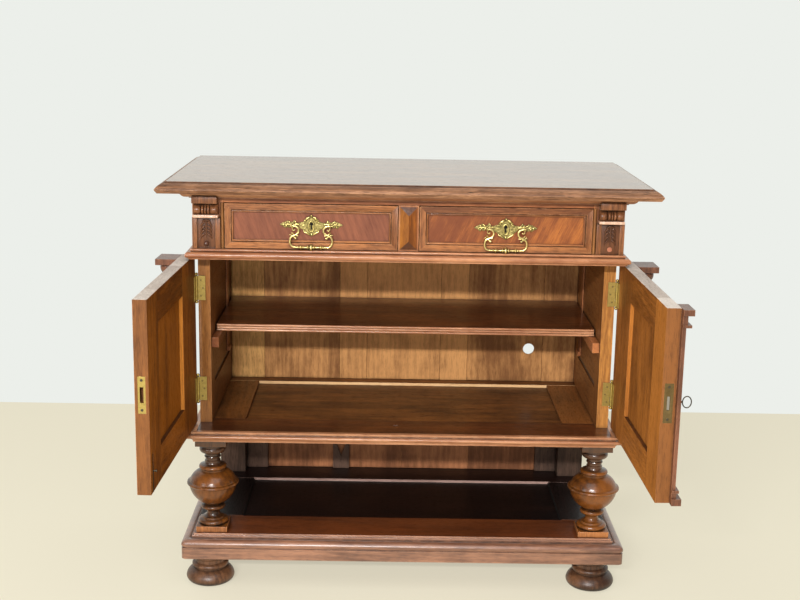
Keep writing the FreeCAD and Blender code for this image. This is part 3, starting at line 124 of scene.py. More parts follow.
def placed(name: str, data: bpy.types.ID) -> Piece:
    """Put new data into the scene as the one selected object.

    Args:
        name: Name of the object.
        data: Its mesh, curve, lamp or camera.

    Returns:
        The object.
    """
    made = bpy.data.objects.new(name, data)
    bpy.context.scene.collection.objects.link(made)
    pick(made)
    return made


def fresh(add: Callable[..., set[str]], **settings: object) -> Piece:
    """Add a plain form with nothing else selected.

    Args:
        add: The operator that adds it.
        settings: Its values by name.

    Returns:
        The form.
    """
    bpy.ops.object.select_all(action="DESELECT")
    add(**settings)
    return bpy.context.object


@contextmanager
def bench() -> Iterator[None]:
    """Take the active piece into edit mode with all of it selected, and bring it back.

    Yields:
        Nothing; the operators of the with block act on the piece.
    """
    bpy.ops.object.mode_set(mode="EDIT")
    bpy.ops.mesh.select_all(action="SELECT")
    yield
    bpy.ops.object.mode_set(mode="OBJECT")


def weld() -> None:
    """Merge the doubles of the mesh on the bench and point its faces outwards."""
    bpy.ops.mesh.select_all(action="SELECT")
    bpy.ops.mesh.remove_doubles(threshold=WELD)
    bpy.ops.mesh.normals_make_consistent(inside=False)


def mirrored() -> None:
    """Mirror what is selected on the bench across the middle of the cabinet."""
    bpy.ops.transform.resize(value=(-1, 1, 1), center_override=(0, 0, 0))
    bpy.ops.mesh.flip_normals()


def smooth(angle: float) -> None:
    """Shade the active piece smooth, up to an angle in degrees."""
    bpy.ops.object.shade_smooth_by_angle(angle=math.radians(angle))


def modified(piece: Piece, kind: str, **settings: object) -> None:
    """Put a modifier on the active piece and apply it.

    Args:
        piece: The active piece.
        kind: Type of the modifier.
        settings: Its values by name.
    """
    made = piece.modifiers.new(kind.lower(), kind)
    for name, value in settings.items():
        setattr(made, name, value)
    bpy.ops.object.modifier_apply(modifier=made.name)


def joined(name: str, parts: Sequence[Piece]) -> Piece:
    """Join parts into one piece.

    Args:
        name: Name of the piece.
        parts: What is joined.

    Returns:
        The piece.
    """
    pick(*parts)
    if len(parts) > 1:
        bpy.ops.object.join()
    piece = bpy.context.object
    piece.name = name
    return piece


class Graph:
    """Short ways to add and join the nodes of one tree."""

    def __init__(self, tree: bpy.types.NodeTree) -> None:
        """Work on this tree."""
        self.tree = tree

    def node(self, kind: str, **settings: object) -> bpy.types.Node:
        """Add a shader node.

        Args:
            kind: Its type without the common prefix.
            settings: Properties to set on it.

        Returns:
            The new node.
        """
        made = self.tree.nodes.new("ShaderNode" + kind)
        for name, value in settings.items():
            setattr(made, name, value)
        return made

    def feed(self, socket: Socket, value: Feed) -> None:
        """Link a socket into another, or set its constant.

        Args:
            socket: The input that is fed.
            value: An output, or a constant.
        """
        if isinstance(value, Socket):
            self.tree.links.new(value, socket)
        else:
            socket.default_value = value

    def maths(self, operation: str, *inputs: Feed, clamp: bool = False) -> Socket:
        """Add a Math node.

        Args:
            operation: What it works out.
            inputs: Values or sockets, in order.
            clamp: Keep the result from 0 to 1.

        Returns:
            Its output.
        """
        made = self.node("Math", operation=operation, use_clamp=clamp)
        for socket, value in zip(made.inputs, inputs):
            self.feed(socket, value)
        return made.outputs[0]

    def vector(self, operation: str, *inputs: Feed) -> bpy.types.Node:
        """Add a Vector Math node.

        Args:
            operation: What it works out.
            inputs: Vectors or sockets, in order.

        Returns:
            The node, whose outputs are Vector and Value.
        """
        made = self.node("VectorMath", operation=operation)
        for socket, value in zip(made.inputs, inputs):
            self.feed(socket, value)
        return made

    def scaled(self, vector: Socket, amount: Feed) -> Socket:
        """Multiply a vector by a number.

        Args:
            vector: The vector.
            amount: The number.

        Returns:
            The product.
        """
        made = self.node("VectorMath", operation="SCALE")
        self.feed(made.inputs["Vector"], vector)
        self.feed(made.inputs["Scale"], amount)
        return made.outputs["Vector"]

    def noise(self, vector: Socket, scale: float, detail: float = 2.0, roughness: float = 0.5) -> Socket:
        """Add a Noise texture.

        Args:
            vector: Where it is read.
            scale: Features to the metre.
            detail: Octaves.
            roughness: Weight of the finer octaves.

        Returns:
            Its grey value.
        """
        made = self.node("TexNoise")
        self.feed(made.inputs["Vector"], vector)
        for name, value in (("Scale", scale), ("Detail", detail), ("Roughness", roughness)):
            made.inputs[name].default_value = value
        return made.outputs[0]

    def span(self, value: Feed, low: float, high: float, start: float = 0.0, end: float = 1.0) -> Socket:
        """Map a range of values smoothly onto another, clamped at its ends.

        Args:
            value: What is mapped.
            low: Value that gives start.
            high: Value that gives end.
            start: Result at low.
            end: Result at high.

        Returns:
            The mapped value.
        """
        made = self.node("MapRange", interpolation_type="SMOOTHSTEP")
        names = ("Value", "From Min", "From Max", "To Min", "To Max")
        for name, item in zip(names, (value, low, high, start, end)):
            self.feed(made.inputs[name], item)
        return made.outputs[0]

    def mix(self, factor: Feed, first: Feed, second: Feed, blend: str = "MIX") -> Socket:
        """Mix two colours.

        Args:
            factor: Share of the second.
            first: Colour at 0.
            second: Colour at 1.
            blend: How the second is laid over the first.

        Returns:
            The mixed colour.
        """
        made = self.node("Mix", data_type="RGBA", blend_type=blend)
        self.feed(made.inputs[0], factor)
        self.feed(made.inputs[6], first)
        self.feed(made.inputs[7], second)
        return made.outputs[2]

    def bump(self, height: Socket, strength: float, distance: float) -> Socket:
        """Add a Bump node.

        Args:
            height: What rises and falls.
            strength: How strongly it shows.
            distance: Depth of the relief in metres.

        Returns:
            The bent normal.
        """
        made = self.node("Bump")
        made.inputs["Strength"].default_value = strength
        made.inputs["Distance"].default_value = distance
        self.feed(made.inputs["Height"], height)
        return made.outputs[0]


class Effect:
    """A shader node group that several finishes share."""

    name = "effect"
    inputs: dict[str, str] = {}
    outputs: dict[str, str] = {}

    @classmethod
    def tree(cls) -> bpy.types.NodeTree:
        """Give the group, building it the first time.

        Returns:
            The group's tree.
        """
        found = bpy.data.node_groups.get(cls.name)
        if found:
            return found
        tree = bpy.data.node_groups.new(cls.name, "ShaderNodeTree")
        for way, sockets in (("INPUT", cls.inputs), ("OUTPUT", cls.outputs)):
            for label, kind in sockets.items():
                tree.interface.new_socket(name=label, in_out=way, socket_type="NodeSocket" + kind)
        entry = tree.nodes.new("NodeGroupInput")
        leave = tree.nodes.new("NodeGroupOutput")
        graph = Graph(tree)
        made = cls.build(graph, {label: entry.outputs[label] for label in cls.inputs})
        for label, value in made.items():
            graph.feed(leave.inputs[label], value)
        return tree

    @classmethod
    def build(cls, graph: Graph, given: dict[str, Socket]) -> dict[str, Socket]:
        """Fill the group.

        Args:
            graph: The group's own tree.
            given: Its inputs by name.

        Returns:
            Its outputs by name.
        """
        raise NotImplementedError

    @classmethod
    def place(cls, graph: Graph, **values: Feed) -> bpy.types.Node:
        """Put the group into a material.

        Args:
            graph: The material's tree.
            values: Inputs by name.

        Returns:
            The group node.
        """
        made = graph.node("Group", node_tree=cls.tree())
        for label, value in values.items():
            graph.feed(made.inputs[label], value)
        return made


class WoodGrain(Effect):
    """Growth rings, streaks, pores and cloudy tone along a board."""

    name = "wood_grain"
    inputs = {"Along": "Vector", "Seed": "Float", "Light": "Color", "Dark": "Color", "Pore": "Color",
              "Streak": "Float", "Figure": "Float", "Mottle": "Float"}
    outputs = {"Color": "Color", "Height": "Float", "Open": "Float", "Scars": "Float"}
    # Share of the way along the grain, features to the metre, octaves and weight of the finer ones.
    patterns = {"wander": (0.22, 5.0, 2.0, 0.5), "bands": (0.1, 16.0, 3.0, 0.55),
                "streak": (0.05, 95.0, 4.0, 0.6), "fine": (0.06, 420.0, 2.0, 0.6),
                "cloud": (0.45, 11.0, 6.0, 0.68), "shimmer": (0.8, 34.0, 2.0, 0.5),
                "pores": (0.09, 620.0, 1.0, 0.5), "scars": (0.12, 130.0, 4.0, 0.7)}
    seed_steps = (7.3, 4.1, 9.7)
    seed_spread = 17.31
    heart = (0.13, 0.09, 0.11)
    heart_length = 0.03
    ring_rate = 420.0
    ring_wander = 0.12
    ring_weight = 0.045
    band_weight = 0.6
    board_weight = 0.32
    fine_share = (0.7, 0.22)
    fine_height = 0.5
    pore_share = (0.5, 0.15)
    tone_span = (0.2, 0.8)
    pore_span = (0.56, 0.66)
    scar_span = (0.62, 0.72)
    middle = 0.5

    @classmethod
    def build(cls, graph: Graph, given: dict[str, Socket]) -> dict[str, Socket]:
        """Fill the group.

        Args:
            graph: The group's own tree.
            given: Its inputs by name.

        Returns:
            Its outputs by name.
        """
        place = graph.node("TexCoord").outputs["Object"]
        shift = graph.node("CombineXYZ")
        for axis, step in zip("XYZ", cls.seed_steps):
            graph.feed(shift.inputs[axis], graph.maths("MULTIPLY", given["Seed"], step))
        point = graph.vector("ADD", place, shift.outputs[0]).outputs["Vector"]
        reach = graph.vector("DOT_PRODUCT", point, given["Along"]).outputs["Value"]
        long = graph.scaled(given["Along"], reach)
        across = graph.vector("SUBTRACT", point, long).outputs["Vector"]

        def drawn(share: float) -> Socket:
            """Shorten the point's way along the board, so that a pattern is drawn out."""
            return graph.vector("ADD", across, graph.scaled(long, share)).outputs["Vector"]

        found = {key: graph.noise(drawn(share), *sizes) for key, (share, *sizes) in cls.patterns.items()}
        centre = graph.vector("ADD", drawn(cls.heart_length), cls.heart).outputs["Vector"]
        wave = graph.maths("MULTIPLY", found["wander"], cls.ring_wander)
        radius = graph.maths("ADD", graph.vector("LENGTH", centre).outputs["Value"], wave)
        turns = graph.maths("SINE", graph.maths("MULTIPLY", radius, cls.ring_rate))
        found["own"] = graph.maths("FRACT", graph.maths("MULTIPLY", given["Seed"], cls.seed_spread))
        weights = {"bands": cls.band_weight, "streak": given["Streak"],
                   "fine": graph.maths("MULTIPLY_ADD", given["Streak"], *cls.fine_share),
                   "cloud": given["Mottle"], "shimmer": given["Figure"], "own": cls.board_weight}
        tone = graph.maths("MULTIPLY_ADD", turns, cls.ring_weight, cls.middle)
        for key, weight in weights.items():
            tone = graph.maths("MULTIPLY_ADD", graph.maths("SUBTRACT", found[key], cls.middle), weight, tone)
        body = graph.mix(graph.span(tone, *cls.tone_span), given["Dark"], given["Light"])
        pore = graph.span(found["pores"], *cls.pore_span)
        share = graph.maths("MULTIPLY_ADD", given["Streak"], *cls.pore_share)
        colour = graph.mix(graph.maths("MULTIPLY", pore, share), body, given["Pore"])
        height = graph.maths("SUBTRACT", graph.maths("MULTIPLY", found["fine"], cls.fine_height), pore)
        scars = graph.span(found["scars"], *cls.scar_span)
        return {"Color": colour, "Height": height, "Open": pore, "Scars": scars}


class Handling(Effect):
    """Edges rubbed bare by hands, and hollows darkened from ambient occlusion, which stand for grime and
    painted shade on wood and for tarnish on metal.
    """

    name = "handling"
    inputs = {"Breadth": "Float", "Reach": "Float", "Clear": "Float"}
    outputs = {"Rubbed": "Float", "Grime": "Float"}
    edge_samples = 4
    edge_span = (0.02, 0.2)
    patches = (38.0, 4.0, 0.65)
    patch_span = (0.36, 0.66)
    corner_samples = 6
    corner_full = 0.3
    clouds = (55.0, 3.0)
    cloud_span = (0.2, 0.6, 0.45, 1.0)

    @classmethod
    def build(cls, graph: Graph, given: dict[str, Socket]) -> dict[str, Socket]:
        """Fill the group.

        Args:
            graph: The group's own tree.
            given: Its inputs by name.

        Returns:
            Its outputs by name.
        """
        place = graph.node("TexCoord").outputs["Object"]
        rounded = graph.node("Bevel", samples=cls.edge_samples)
        graph.feed(rounded.inputs["Radius"], given["Breadth"])
        plain = graph.node("NewGeometry").outputs["Normal"]
        turn = graph.vector("DOT_PRODUCT", rounded.outputs[0], plain).outputs["Value"]
        edge = graph.span(graph.maths("SUBTRACT", 1.0, turn), *cls.edge_span)
        patchy = graph.span(graph.noise(place, *cls.patches), *cls.patch_span)
        # Ambient occlusion darkens hollows and corners: partly grime, partly painted shade where shade falls.
        closed = graph.node("AmbientOcclusion", samples=cls.corner_samples)
        graph.feed(closed.inputs["Distance"], given["Reach"])
        corner = graph.span(closed.outputs["AO"], given["Clear"], cls.corner_full)
        cloud = graph.span(graph.noise(place, *cls.clouds), *cls.cloud_span)
        return {"Rubbed": graph.maths("MULTIPLY", edge, patchy),
                "Grime": graph.maths("MULTIPLY", corner, cloud)}


class Finish:
    """What a surface looks like; each kind makes its own material once."""

    name: str

    def material(self) -> bpy.types.Material:
        """Give the material of this finish, building it the first time.

        Returns:
            The material.
        """
        found = bpy.data.materials.get(self.name)
        if found:
            return found
        made = bpy.data.materials.new(self.name)
        made.use_nodes = True
        made.node_tree.nodes.clear()
        graph = Graph(made.node_tree)
        shader = graph.node("BsdfPrincipled")
        graph.feed(graph.node("OutputMaterial").inputs["Surface"], shader.outputs[0])
        self.dress(graph, shader)
        return made

    def dress(self, graph: Graph, shader: bpy.types.Node) -> None:
        """Feed the shader.

        Args:
            graph: The material's tree.
            shader: Its Principled node.
        """
        raise NotImplementedError


WOOD_RUBBED = 3.5 * MM
WOOD_RELIEF = 0.5 * MM
PORE_ROUGHNESS = 0.18
GRIME_ROUGHNESS = 0.2
# Darkness of the darkened hollows on wood, as a share of the dark tone: grime and painted shade.
GRIME_AND_SHADE_TONE = 0.42
METAL_RUBBED = 1.2 * MM
METAL_REACH = 6 * MM
METAL_CLEAR = 0.97
METAL_RELIEF = 0.3 * MM
METAL_BUMP = 0.1
METAL_CLOUDS = (160.0, 4.0, 0.65)
METAL_CLOUD_SPAN = (0.35, 0.7)
METAL_SPOTS = (900.0, 2.0)
METAL_SPOT_SPAN = (0.55, 0.7)
RECESS_START = 1.3 * MM
RECESS_FULL = 0.1 * MM
CLOUD_DULLS = 0.3
SPOT_DULLS = 0.15
RECESS_DULLS = 0.5
TOUCH_BRIGHTENS = 0.5
DULL_ROUGHNESS = 0.3


@dataclass(frozen=True)
class Wood(Finish):
    """Stained, waxed or bare timber."""

    name: str
    light: Colour
    dark: Colour
    pore: Colour
    rubbed: Colour
    roughness: float = 0.42
    coat: float = 0.25
    coat_roughness: float = 0.22
    streak: float = 0.35
    figure: float = 0.2
    mottle: float = 0.75
    wear: float = 0.55
    # Strength of the darkened hollows: grime and painted shade.
    grime: float = 0.75
    relief: float = 0.25
    scars: float = 0.2
    gloss: float = 0.22
    reach: float = 0.014
    clear: float = 0.8

    def dress(self, graph: Graph, shader: bpy.types.Node) -> None:
        """Feed the shader.

        Args:
            graph: The material's tree.
            shader: Its Principled node.
        """
        along = graph.node("Attribute", attribute_name="grain_along").outputs["Vector"]
        seed = graph.node("Attribute", attribute_name="grain_seed").outputs["Fac"]
        grain = WoodGrain.place(graph, Along=along, Seed=seed, Light=linear(self.light),
                                Dark=linear(self.dark), Pore=linear(self.pore), Streak=self.streak,
                                Figure=self.figure, Mottle=self.mottle)
        hands = Handling.place(graph, Breadth=WOOD_RUBBED, Reach=self.reach, Clear=self.clear)
        rubbed = graph.maths("MULTIPLY", hands.outputs["Rubbed"], self.wear)
        # Hollows darkened from ambient occlusion: grime, and painted shade in corners and grooves.
        grime = graph.maths("MULTIPLY", hands.outputs["Grime"], self.grime)
        scars = graph.maths("MULTIPLY", grain.outputs["Scars"], self.scars)
        colour = graph.mix(rubbed, grain.outputs["Color"], linear(self.rubbed))
        colour = graph.mix(scars, colour, linear(self.pore))
        colour = graph.mix(grime, colour, linear(tuple(round(value * GRIME_AND_SHADE_TONE) for value in self.dark)))
        graph.feed(shader.inputs["Base Color"], colour)
        rough = graph.maths("MULTIPLY_ADD", grain.outputs["Open"], PORE_ROUGHNESS, self.roughness)
        rough = graph.maths("MULTIPLY_ADD", grime, GRIME_ROUGHNESS, rough, clamp=True)
        graph.feed(shader.inputs["Roughness"], rough)
        shader.inputs["Specular IOR Level"].default_value = self.gloss
        shader.inputs["Coat Weight"].default_value = self.coat
        shader.inputs["Coat Roughness"].default_value = self.coat_roughness
        graph.feed(shader.inputs["Normal"], graph.bump(grain.outputs["Height"], self.relief, WOOD_RELIEF))


@dataclass(frozen=True)
class Metal(Finish):
    """Cast or rolled metal, bright where it is touched and dull in its recesses."""

    name: str
    bright: Colour
    dull: Colour
    roughness: float = 0.26
    tarnish: float = 0.8
    ground: Optional[float] = None

    def dress(self, graph: Graph, shader: bpy.types.Node) -> None:
        """Feed the shader.

        Args:
            graph: The material's tree.
            shader: Its Principled node.
        """
        place = graph.node("TexCoord").outputs["Object"]
        hands = Handling.place(graph, Breadth=METAL_RUBBED, Reach=METAL_REACH, Clear=METAL_CLEAR)
        cloud = graph.span(graph.noise(place, *METAL_CLOUDS), *METAL_CLOUD_SPAN)
        spots = graph.span(graph.noise(place, *METAL_SPOTS), *METAL_SPOT_SPAN)
        dull = graph.maths("MULTIPLY", hands.outputs["Grime"], self.tarnish)
        dull = graph.maths("MULTIPLY_ADD", cloud, CLOUD_DULLS, dull)
        dull = graph.maths("MULTIPLY_ADD", spots, SPOT_DULLS, dull)
        if self.ground is not None:
            split = graph.node("SeparateXYZ")
            graph.feed(split.inputs[0], place)
            sunk = graph.span(split.outputs["Y"], self.ground - RECESS_START, self.ground - RECESS_FULL)
            dull = graph.maths("MULTIPLY_ADD", sunk, RECESS_DULLS, dull)
        touched = graph.maths("MULTIPLY", hands.outputs["Rubbed"], TOUCH_BRIGHTENS)
        dull = graph.maths("SUBTRACT", dull, touched, clamp=True)
        graph.feed(shader.inputs["Base Color"], graph.mix(dull, linear(self.bright), linear(self.dull)))
        shader.inputs["Metallic"].default_value = 1.0
        rough = graph.maths("MULTIPLY_ADD", dull, DULL_ROUGHNESS, self.roughness)
        graph.feed(shader.inputs["Roughness"], rough)
        graph.feed(shader.inputs["Normal"], graph.bump(cloud, METAL_BUMP, METAL_RELIEF))


TOP_POLISH = Wood("top_polish", (166, 112, 44), (116, 70, 22), (60, 36, 12), (180, 128, 70), 0.3, 0.9, 0.12,
                  streak=0.6, relief=0.1, scars=0.35, gloss=0.5)
TOP_EDGE = Wood("top_edge", (178, 128, 92), (104, 68, 44), (34, 20, 13), (214, 162, 122), streak=0.6,
                wear=0.7, scars=1.0)
# Painted shade: dark tone for the faces of the small step just below the top's surface.
TOP_STEP_SHADE = Wood("top_step", (134, 90, 62), (74, 46, 30), (34, 20, 13), (156, 110, 80), 0.6, 0.0, scars=1.0)
FRIEZE_WAX = Wood("frieze_wax", (180, 112, 64), (118, 64, 32), (66, 34, 16), (212, 150, 98), scars=0.4)
# Darker and lighter copies of one stile finish, painted shade and painted light: the darker for the left side
# frame's front and the kept board of each console, the lighter for the right side frame's front.
STILE_SHADED = Wood("stile_left", (161, 107, 56), (104, 62, 29), (70, 38, 16), (200, 140, 84))
STILE_LIT = Wood("stile_right", (202, 139, 68), (138, 87, 38), (76, 42, 17), (204, 146, 88))
WALL_WAX = Wood("wall_wax", (140, 88, 42), (92, 54, 24), (54, 30, 14), (186, 126, 72), 0.5, 0.1)
MOULD_WAX = Wood("mould_wax", (208, 146, 102), (140, 86, 54), (70, 40, 24), (236, 182, 138), 0.34, 0.5,
                 streak=0.15, scars=0.5)
LOWER_WAX = Wood("lower_wax", (228, 170, 126), (154, 100, 66), (76, 44, 28), (242, 194, 152), 0.34, 0.5,
                 streak=0.15, scars=0.6)
# Painted highlight: near-white tone for the console ledge, standing in for the light on its polished top.
LEDGE_HIGHLIGHT = Wood("ledge_wax", (232, 196, 170), (190, 146, 118), (110, 74, 54), (240, 206, 182), 0.3, 0.8)
# Painted highlight: pale tone for the front of the cupboard floor's back rail, standing in for the light its
# edge catches.
LIT_LIP = Wood("pale_lip", (246, 204, 152), (222, 176, 122), (170, 124, 80), (248, 210, 160), 0.6, 0.0,
                grime=0.0)
FRAME_WAX = Wood("frame_wax", (178, 114, 64), (106, 60, 30), (58, 31, 16), (222, 164, 116), streak=0.5,
                 wear=0.8, scars=0.5)
FIELD_LEFT = Wood("field_left", (144, 84, 56), (106, 57, 37), (80, 43, 27), (176, 116, 78), streak=0.12,
                  figure=0.1)
FIELD_RIGHT = Wood("field_right", (192, 115, 50), (118, 60, 28), (84, 42, 20), (186, 120, 66), streak=0.3,
                   figure=0.1, mottle=1.1)
DIVIDER_WAX = Wood("divider_wax", (162, 90, 30), (104, 52, 16), (64, 32, 12), (214, 150, 84), 0.5, 0.0)
DIAMOND_RIM = Wood("diamond_rim", (196, 132, 84), (142, 86, 48), (84, 48, 26), (230, 174, 130), wear=0.9)
# Facet tones set by the way each facet faces: painted light on the left facet, painted shade on the right,
# top and lower facets.
DIAMOND_LEFT_LIT = Wood("diamond_left", (190, 122, 46), (134, 78, 24), (76, 42, 14), (224, 166, 110), 0.5, 0.1,
                    wear=1.0)
DIAMOND_RIGHT_SHADED = Wood("diamond_right", (162, 90, 20), (98, 50, 10), (58, 28, 7), (206, 146, 92), 0.5, 0.1,
                     wear=1.0)
DIAMOND_TOP_SHADED = Wood("diamond_top", (128, 86, 64), (86, 54, 40), (52, 32, 24), (216, 164, 122), 0.5, 0.1,
                   wear=1.0)
DIAMOND_LOW_SHADED = Wood("diamond_low", (126, 76, 44), (80, 46, 26), (48, 27, 16), (200, 146, 104), 0.5, 0.1,
                   wear=1.0)
DOOR_WAX = Wood("door_wax", (160, 92, 20), (92, 46, 7), (52, 26, 4), (190, 124, 60), 0.5, 0.06, 0.3,
                gloss=0.14, grime=0.9)
# Lighter copy of DOOR_WAX for the right door: painted light.
DOOR_WAX_LIT = Wood("door_warm", (182, 114, 48), (112, 64, 22), (62, 34, 10), (206, 144, 84), 0.5, 0.06, 0.3,
                 gloss=0.14, grime=0.9)
DOOR_EDGE = Wood("door_edge", (132, 81, 38), (82, 46, 19), (54, 29, 13), (168, 110, 62), 0.5, 0.1,
                 streak=0.3)
# Painted reflection: pale grey tone for the tops of the doors, standing in for the sheen of the light above
# on their polish.
DOOR_TOP_SHEEN = Wood("door_top", (218, 204, 190), (178, 160, 145), (120, 100, 84), (226, 214, 200), 0.5, 0.3,
                streak=0.6)
# Painted light on the lining's slope along the hinge side, for the left and right door; DOOR_SHADE paints
# shade on its upward-facing lower slope.
DOOR_SLOPE_LIT_LEFT = Wood("door_gleam", (226, 146, 62), (164, 94, 34), (110, 60, 20), (230, 160, 84), 0.4, 0.2,
                  grime=0.5)
DOOR_SLOPE_LIT_RIGHT = Wood("door_bead", (188, 116, 50), (130, 74, 26), (88, 48, 16), (206, 138, 72), 0.5, 0.1,
                 grime=0.7)
DOOR_SHADE = Wood("door_shade", (84, 44, 12), (48, 24, 7), (30, 15, 4), (120, 70, 30), 0.55, 0.0)
INNER_DRY = Wood("inner_dry", (210, 152, 92), (127, 82, 44), (72, 44, 24), (218, 166, 108), 0.6, 0.0,
                 streak=0.12, mottle=1.0)
INNER_PALE = Wood("inner_pale", (232, 178, 108), (176, 124, 68), (104, 70, 38), (228, 180, 118), 0.6, 0.0,
                  grime=0.95)
LOWER_DRY = Wood("lower_dry", (186, 122, 80), (116, 72, 45), (82, 52, 32), (206, 148, 100), 0.6, 0.0,
                 streak=0.1, mottle=1.2)
DARK_POLISH = Wood("dark_polish", (122, 66, 28), (68, 33, 13), (38, 18, 8), (190, 130, 90), 0.4, 0.5, 0.08,
                   gloss=0.3)
FLOOR_WAX = Wood("floor_wax", (132, 80, 36), (72, 41, 17), (38, 22, 10), (150, 98, 58), 0.5, 0.12,
                 mottle=1.0)
STAGE_POLISH = Wood("stage_polish", (112, 57, 26), (62, 29, 13), (32, 16, 8), (140, 84, 54), 0.35, 0.6,
                    0.08, wear=0.3)
# Painted shade: near-black for the stage's sunk panel and the back and side rails round it, which lie in the
# shade under the cupboard.
STAGE_SHADE = Wood("stage_dark", (34, 18, 14), (16, 9, 8), (12, 6, 5), (60, 34, 26), 0.4, 0.12, 0.1,
                  wear=0.05, gloss=0.12)
# Painted highlight: pale tone for the front of the stage's back rail, standing in for the light its moulded
# edge catches.
STAGE_LIP_HIGHLIGHT = Wood("stage_lip", (176, 144, 132), (126, 96, 86), (80, 56, 48), (200, 172, 160), 0.35, 0.5,
                 grime=0.2)
TURNED_POLISH = Wood("turned_polish", (130, 74, 24), (36, 18, 8), (22, 11, 5), (178, 118, 64), 0.4, 0.7,
                     0.2, streak=0.15, mottle=1.5, wear=0.6, grime=1.0, reach=0.034, clear=0.99, gloss=0.2)
# Painted shade: darker copy of the turned finish for the neck and top block of each baluster, under the
# cupboard.
NECK_SHADED = Wood("neck_polish", (88, 54, 30), (26, 15, 9), (16, 9, 5), (140, 92, 58), 0.36, 0.8, 0.15,
                   streak=0.15, mottle=1.2, wear=0.5, grime=1.0, reach=0.03, clear=0.99, gloss=0.25)
COLUMN_WAX = Wood("column_wax", (130, 82, 58), (82, 48, 32), (46, 26, 17), (176, 124, 92), 0.36, 0.4)
FOOT_POLISH = Wood("foot_polish", (124, 84, 56), (60, 36, 22), (32, 19, 12), (160, 116, 84), 0.42, 0.5,
                   0.35, mottle=1.2, grime=1.0, reach=0.03, clear=0.9)
BASE_WAX = Wood("base_wax", (172, 120, 90), (98, 62, 45), (50, 31, 23), (214, 172, 142), 0.34, 1.0, 0.32,
                streak=0.25, mottle=0.8, grime=1.0, scars=0.3, gloss=0.5)
BLACK_STAIN = Wood("black_stain", (100, 75, 61), (60, 45, 36), (30, 22, 18), (116, 88, 70), 0.5, 0.0)
# Painted shadow: near-black for the inner flanks of the stage's side rails and for the block seen through
# each keyhole.
SHADOW_BLACK = Wood("hole_dark", (20, 16, 13), (12, 10, 8), (8, 6, 5), (24, 20, 16), 0.8, 0.0)
RAW_OAK = Wood("raw_oak", (206, 168, 120), (168, 126, 82), (120, 84, 50), (210, 174, 128), 0.65, 0.0)
CONSOLE_WAX = Wood("console_wax", (148, 94, 56), (84, 48, 26), (46, 25, 13), (188, 138, 98), streak=0.5,
                   wear=0.6, scars=0.5)
CARVED_WAX = Wood("carved_wax", (114, 70, 42), (74, 42, 23), (42, 23, 13), (152, 104, 70), grime=0.95,
                  figure=0.1)
PALE_STUMP = Wood("pale_stump", (190, 122, 92), (160, 98, 70), (120, 72, 50), (196, 132, 102), 0.6, 0.0)
BALL_POLISH = Wood("ball_polish", (84, 50, 36), (46, 26, 18), (26, 15, 10), (120, 80, 60), 0.3, 0.9, 0.1)
BRASS_CAST = Metal("brass_cast", (242, 222, 150), (70, 59, 25), 0.28, 1.2)
BRASS_PLAQUE = Metal("brass_plaque", (228, 208, 134), (52, 44, 15), 0.32, 2.0, -18.2 * MM)
BRASS_PLATE = Metal("brass_plate", (196, 172, 100), (100, 85, 44), 0.34, 0.6)
SCREW_BRASS = Metal("screw_brass", (146, 126, 78), (60, 50, 28), 0.4, 0.8)
LOCK_PLATE = Metal("lock_plate", (124, 104, 68), (72, 58, 34), 0.42, 0.6)
DARK_STEEL = Metal("dark_steel", (92, 84, 72), (36, 32, 27), 0.4, 0.7)
IRON = Metal("iron", (128, 118, 106), (58, 50, 44), 0.42, 0.7)


def dressed(piece: Piece, *finishes: Finish) -> None:
    """Give a piece its finishes, one to each material slot.

    Args:
        piece: The piece.
        finishes: Its finishes in order.
    """
    for finish in finishes:
        piece.data.materials.append(finish.material())


BODY_OF = {node: body for body, nodes in frame["record"]["behaviour"]["bodies"].items() for node in nodes}


@dataclass(frozen=True)
class Doors:
    """How far the doors stand open at rest, in degrees."""

    left: float = 92.5
    right: float = 91.0

    def axes(self, body: str) -> dict[Along, Vector]:
        """Directions of the boards of a body.

        Args:
            body: Name of the CAD body.

        Returns:
            Unit vectors across, deep and up, turned with a door.
        """
        turn = {"left_door": -self.left, "flush_bolt": -self.left, "right_door": self.right}.get(body, 0.0)
        swing = Matrix.Rotation(math.radians(turn), 3, "Z")
        return {Along.ACROSS: swing @ Vector((1, 0, 0)), Along.DEEP: swing @ Vector((0, 1, 0)),
                Along.UP: Vector((0, 0, 1)), Along.LEANING_LEFT: Vector((-0.34, 0, 0.94)),
                Along.LEANING_RIGHT: Vector((0.42, 0, 0.91))}


DOORS = Doors()


def mark_grain(piece: Piece, way: Along, body: str, seed: float) -> None:
    """Write the grain's direction and a number of its own into a board.

    Args:
        piece: The board.
        way: Which way its grain runs.
        body: The CAD body it belongs to.
        seed: Where in the figure the board was cut.
    """
    axes = DOORS.axes(body)
    points = np.array([vertex.co for vertex in piece.data.vertices])
    if way is Along.LONGEST:
        spans = {key: np.ptp(points @ np.array(axes[key])) for key in (Along.ACROSS, Along.DEEP, Along.UP)}
        way = max(spans, key=spans.get)
    along = piece.data.attributes.new("grain_along", "FLOAT_VECTOR", "POINT")
    along.data.foreach_set("vector", np.tile(np.array(axes[way], np.float32), len(points)))
    number = piece.data.attributes.new("grain_seed", "FLOAT", "POINT")
    number.data.foreach_set("value", np.full(len(points), seed, np.float32))


FACING = 0.3
SQUARE = 0.7
LEVEL = 0.9
BOARD_WELD = 0.004 * MM
FLAT_ANGLE = 0.4


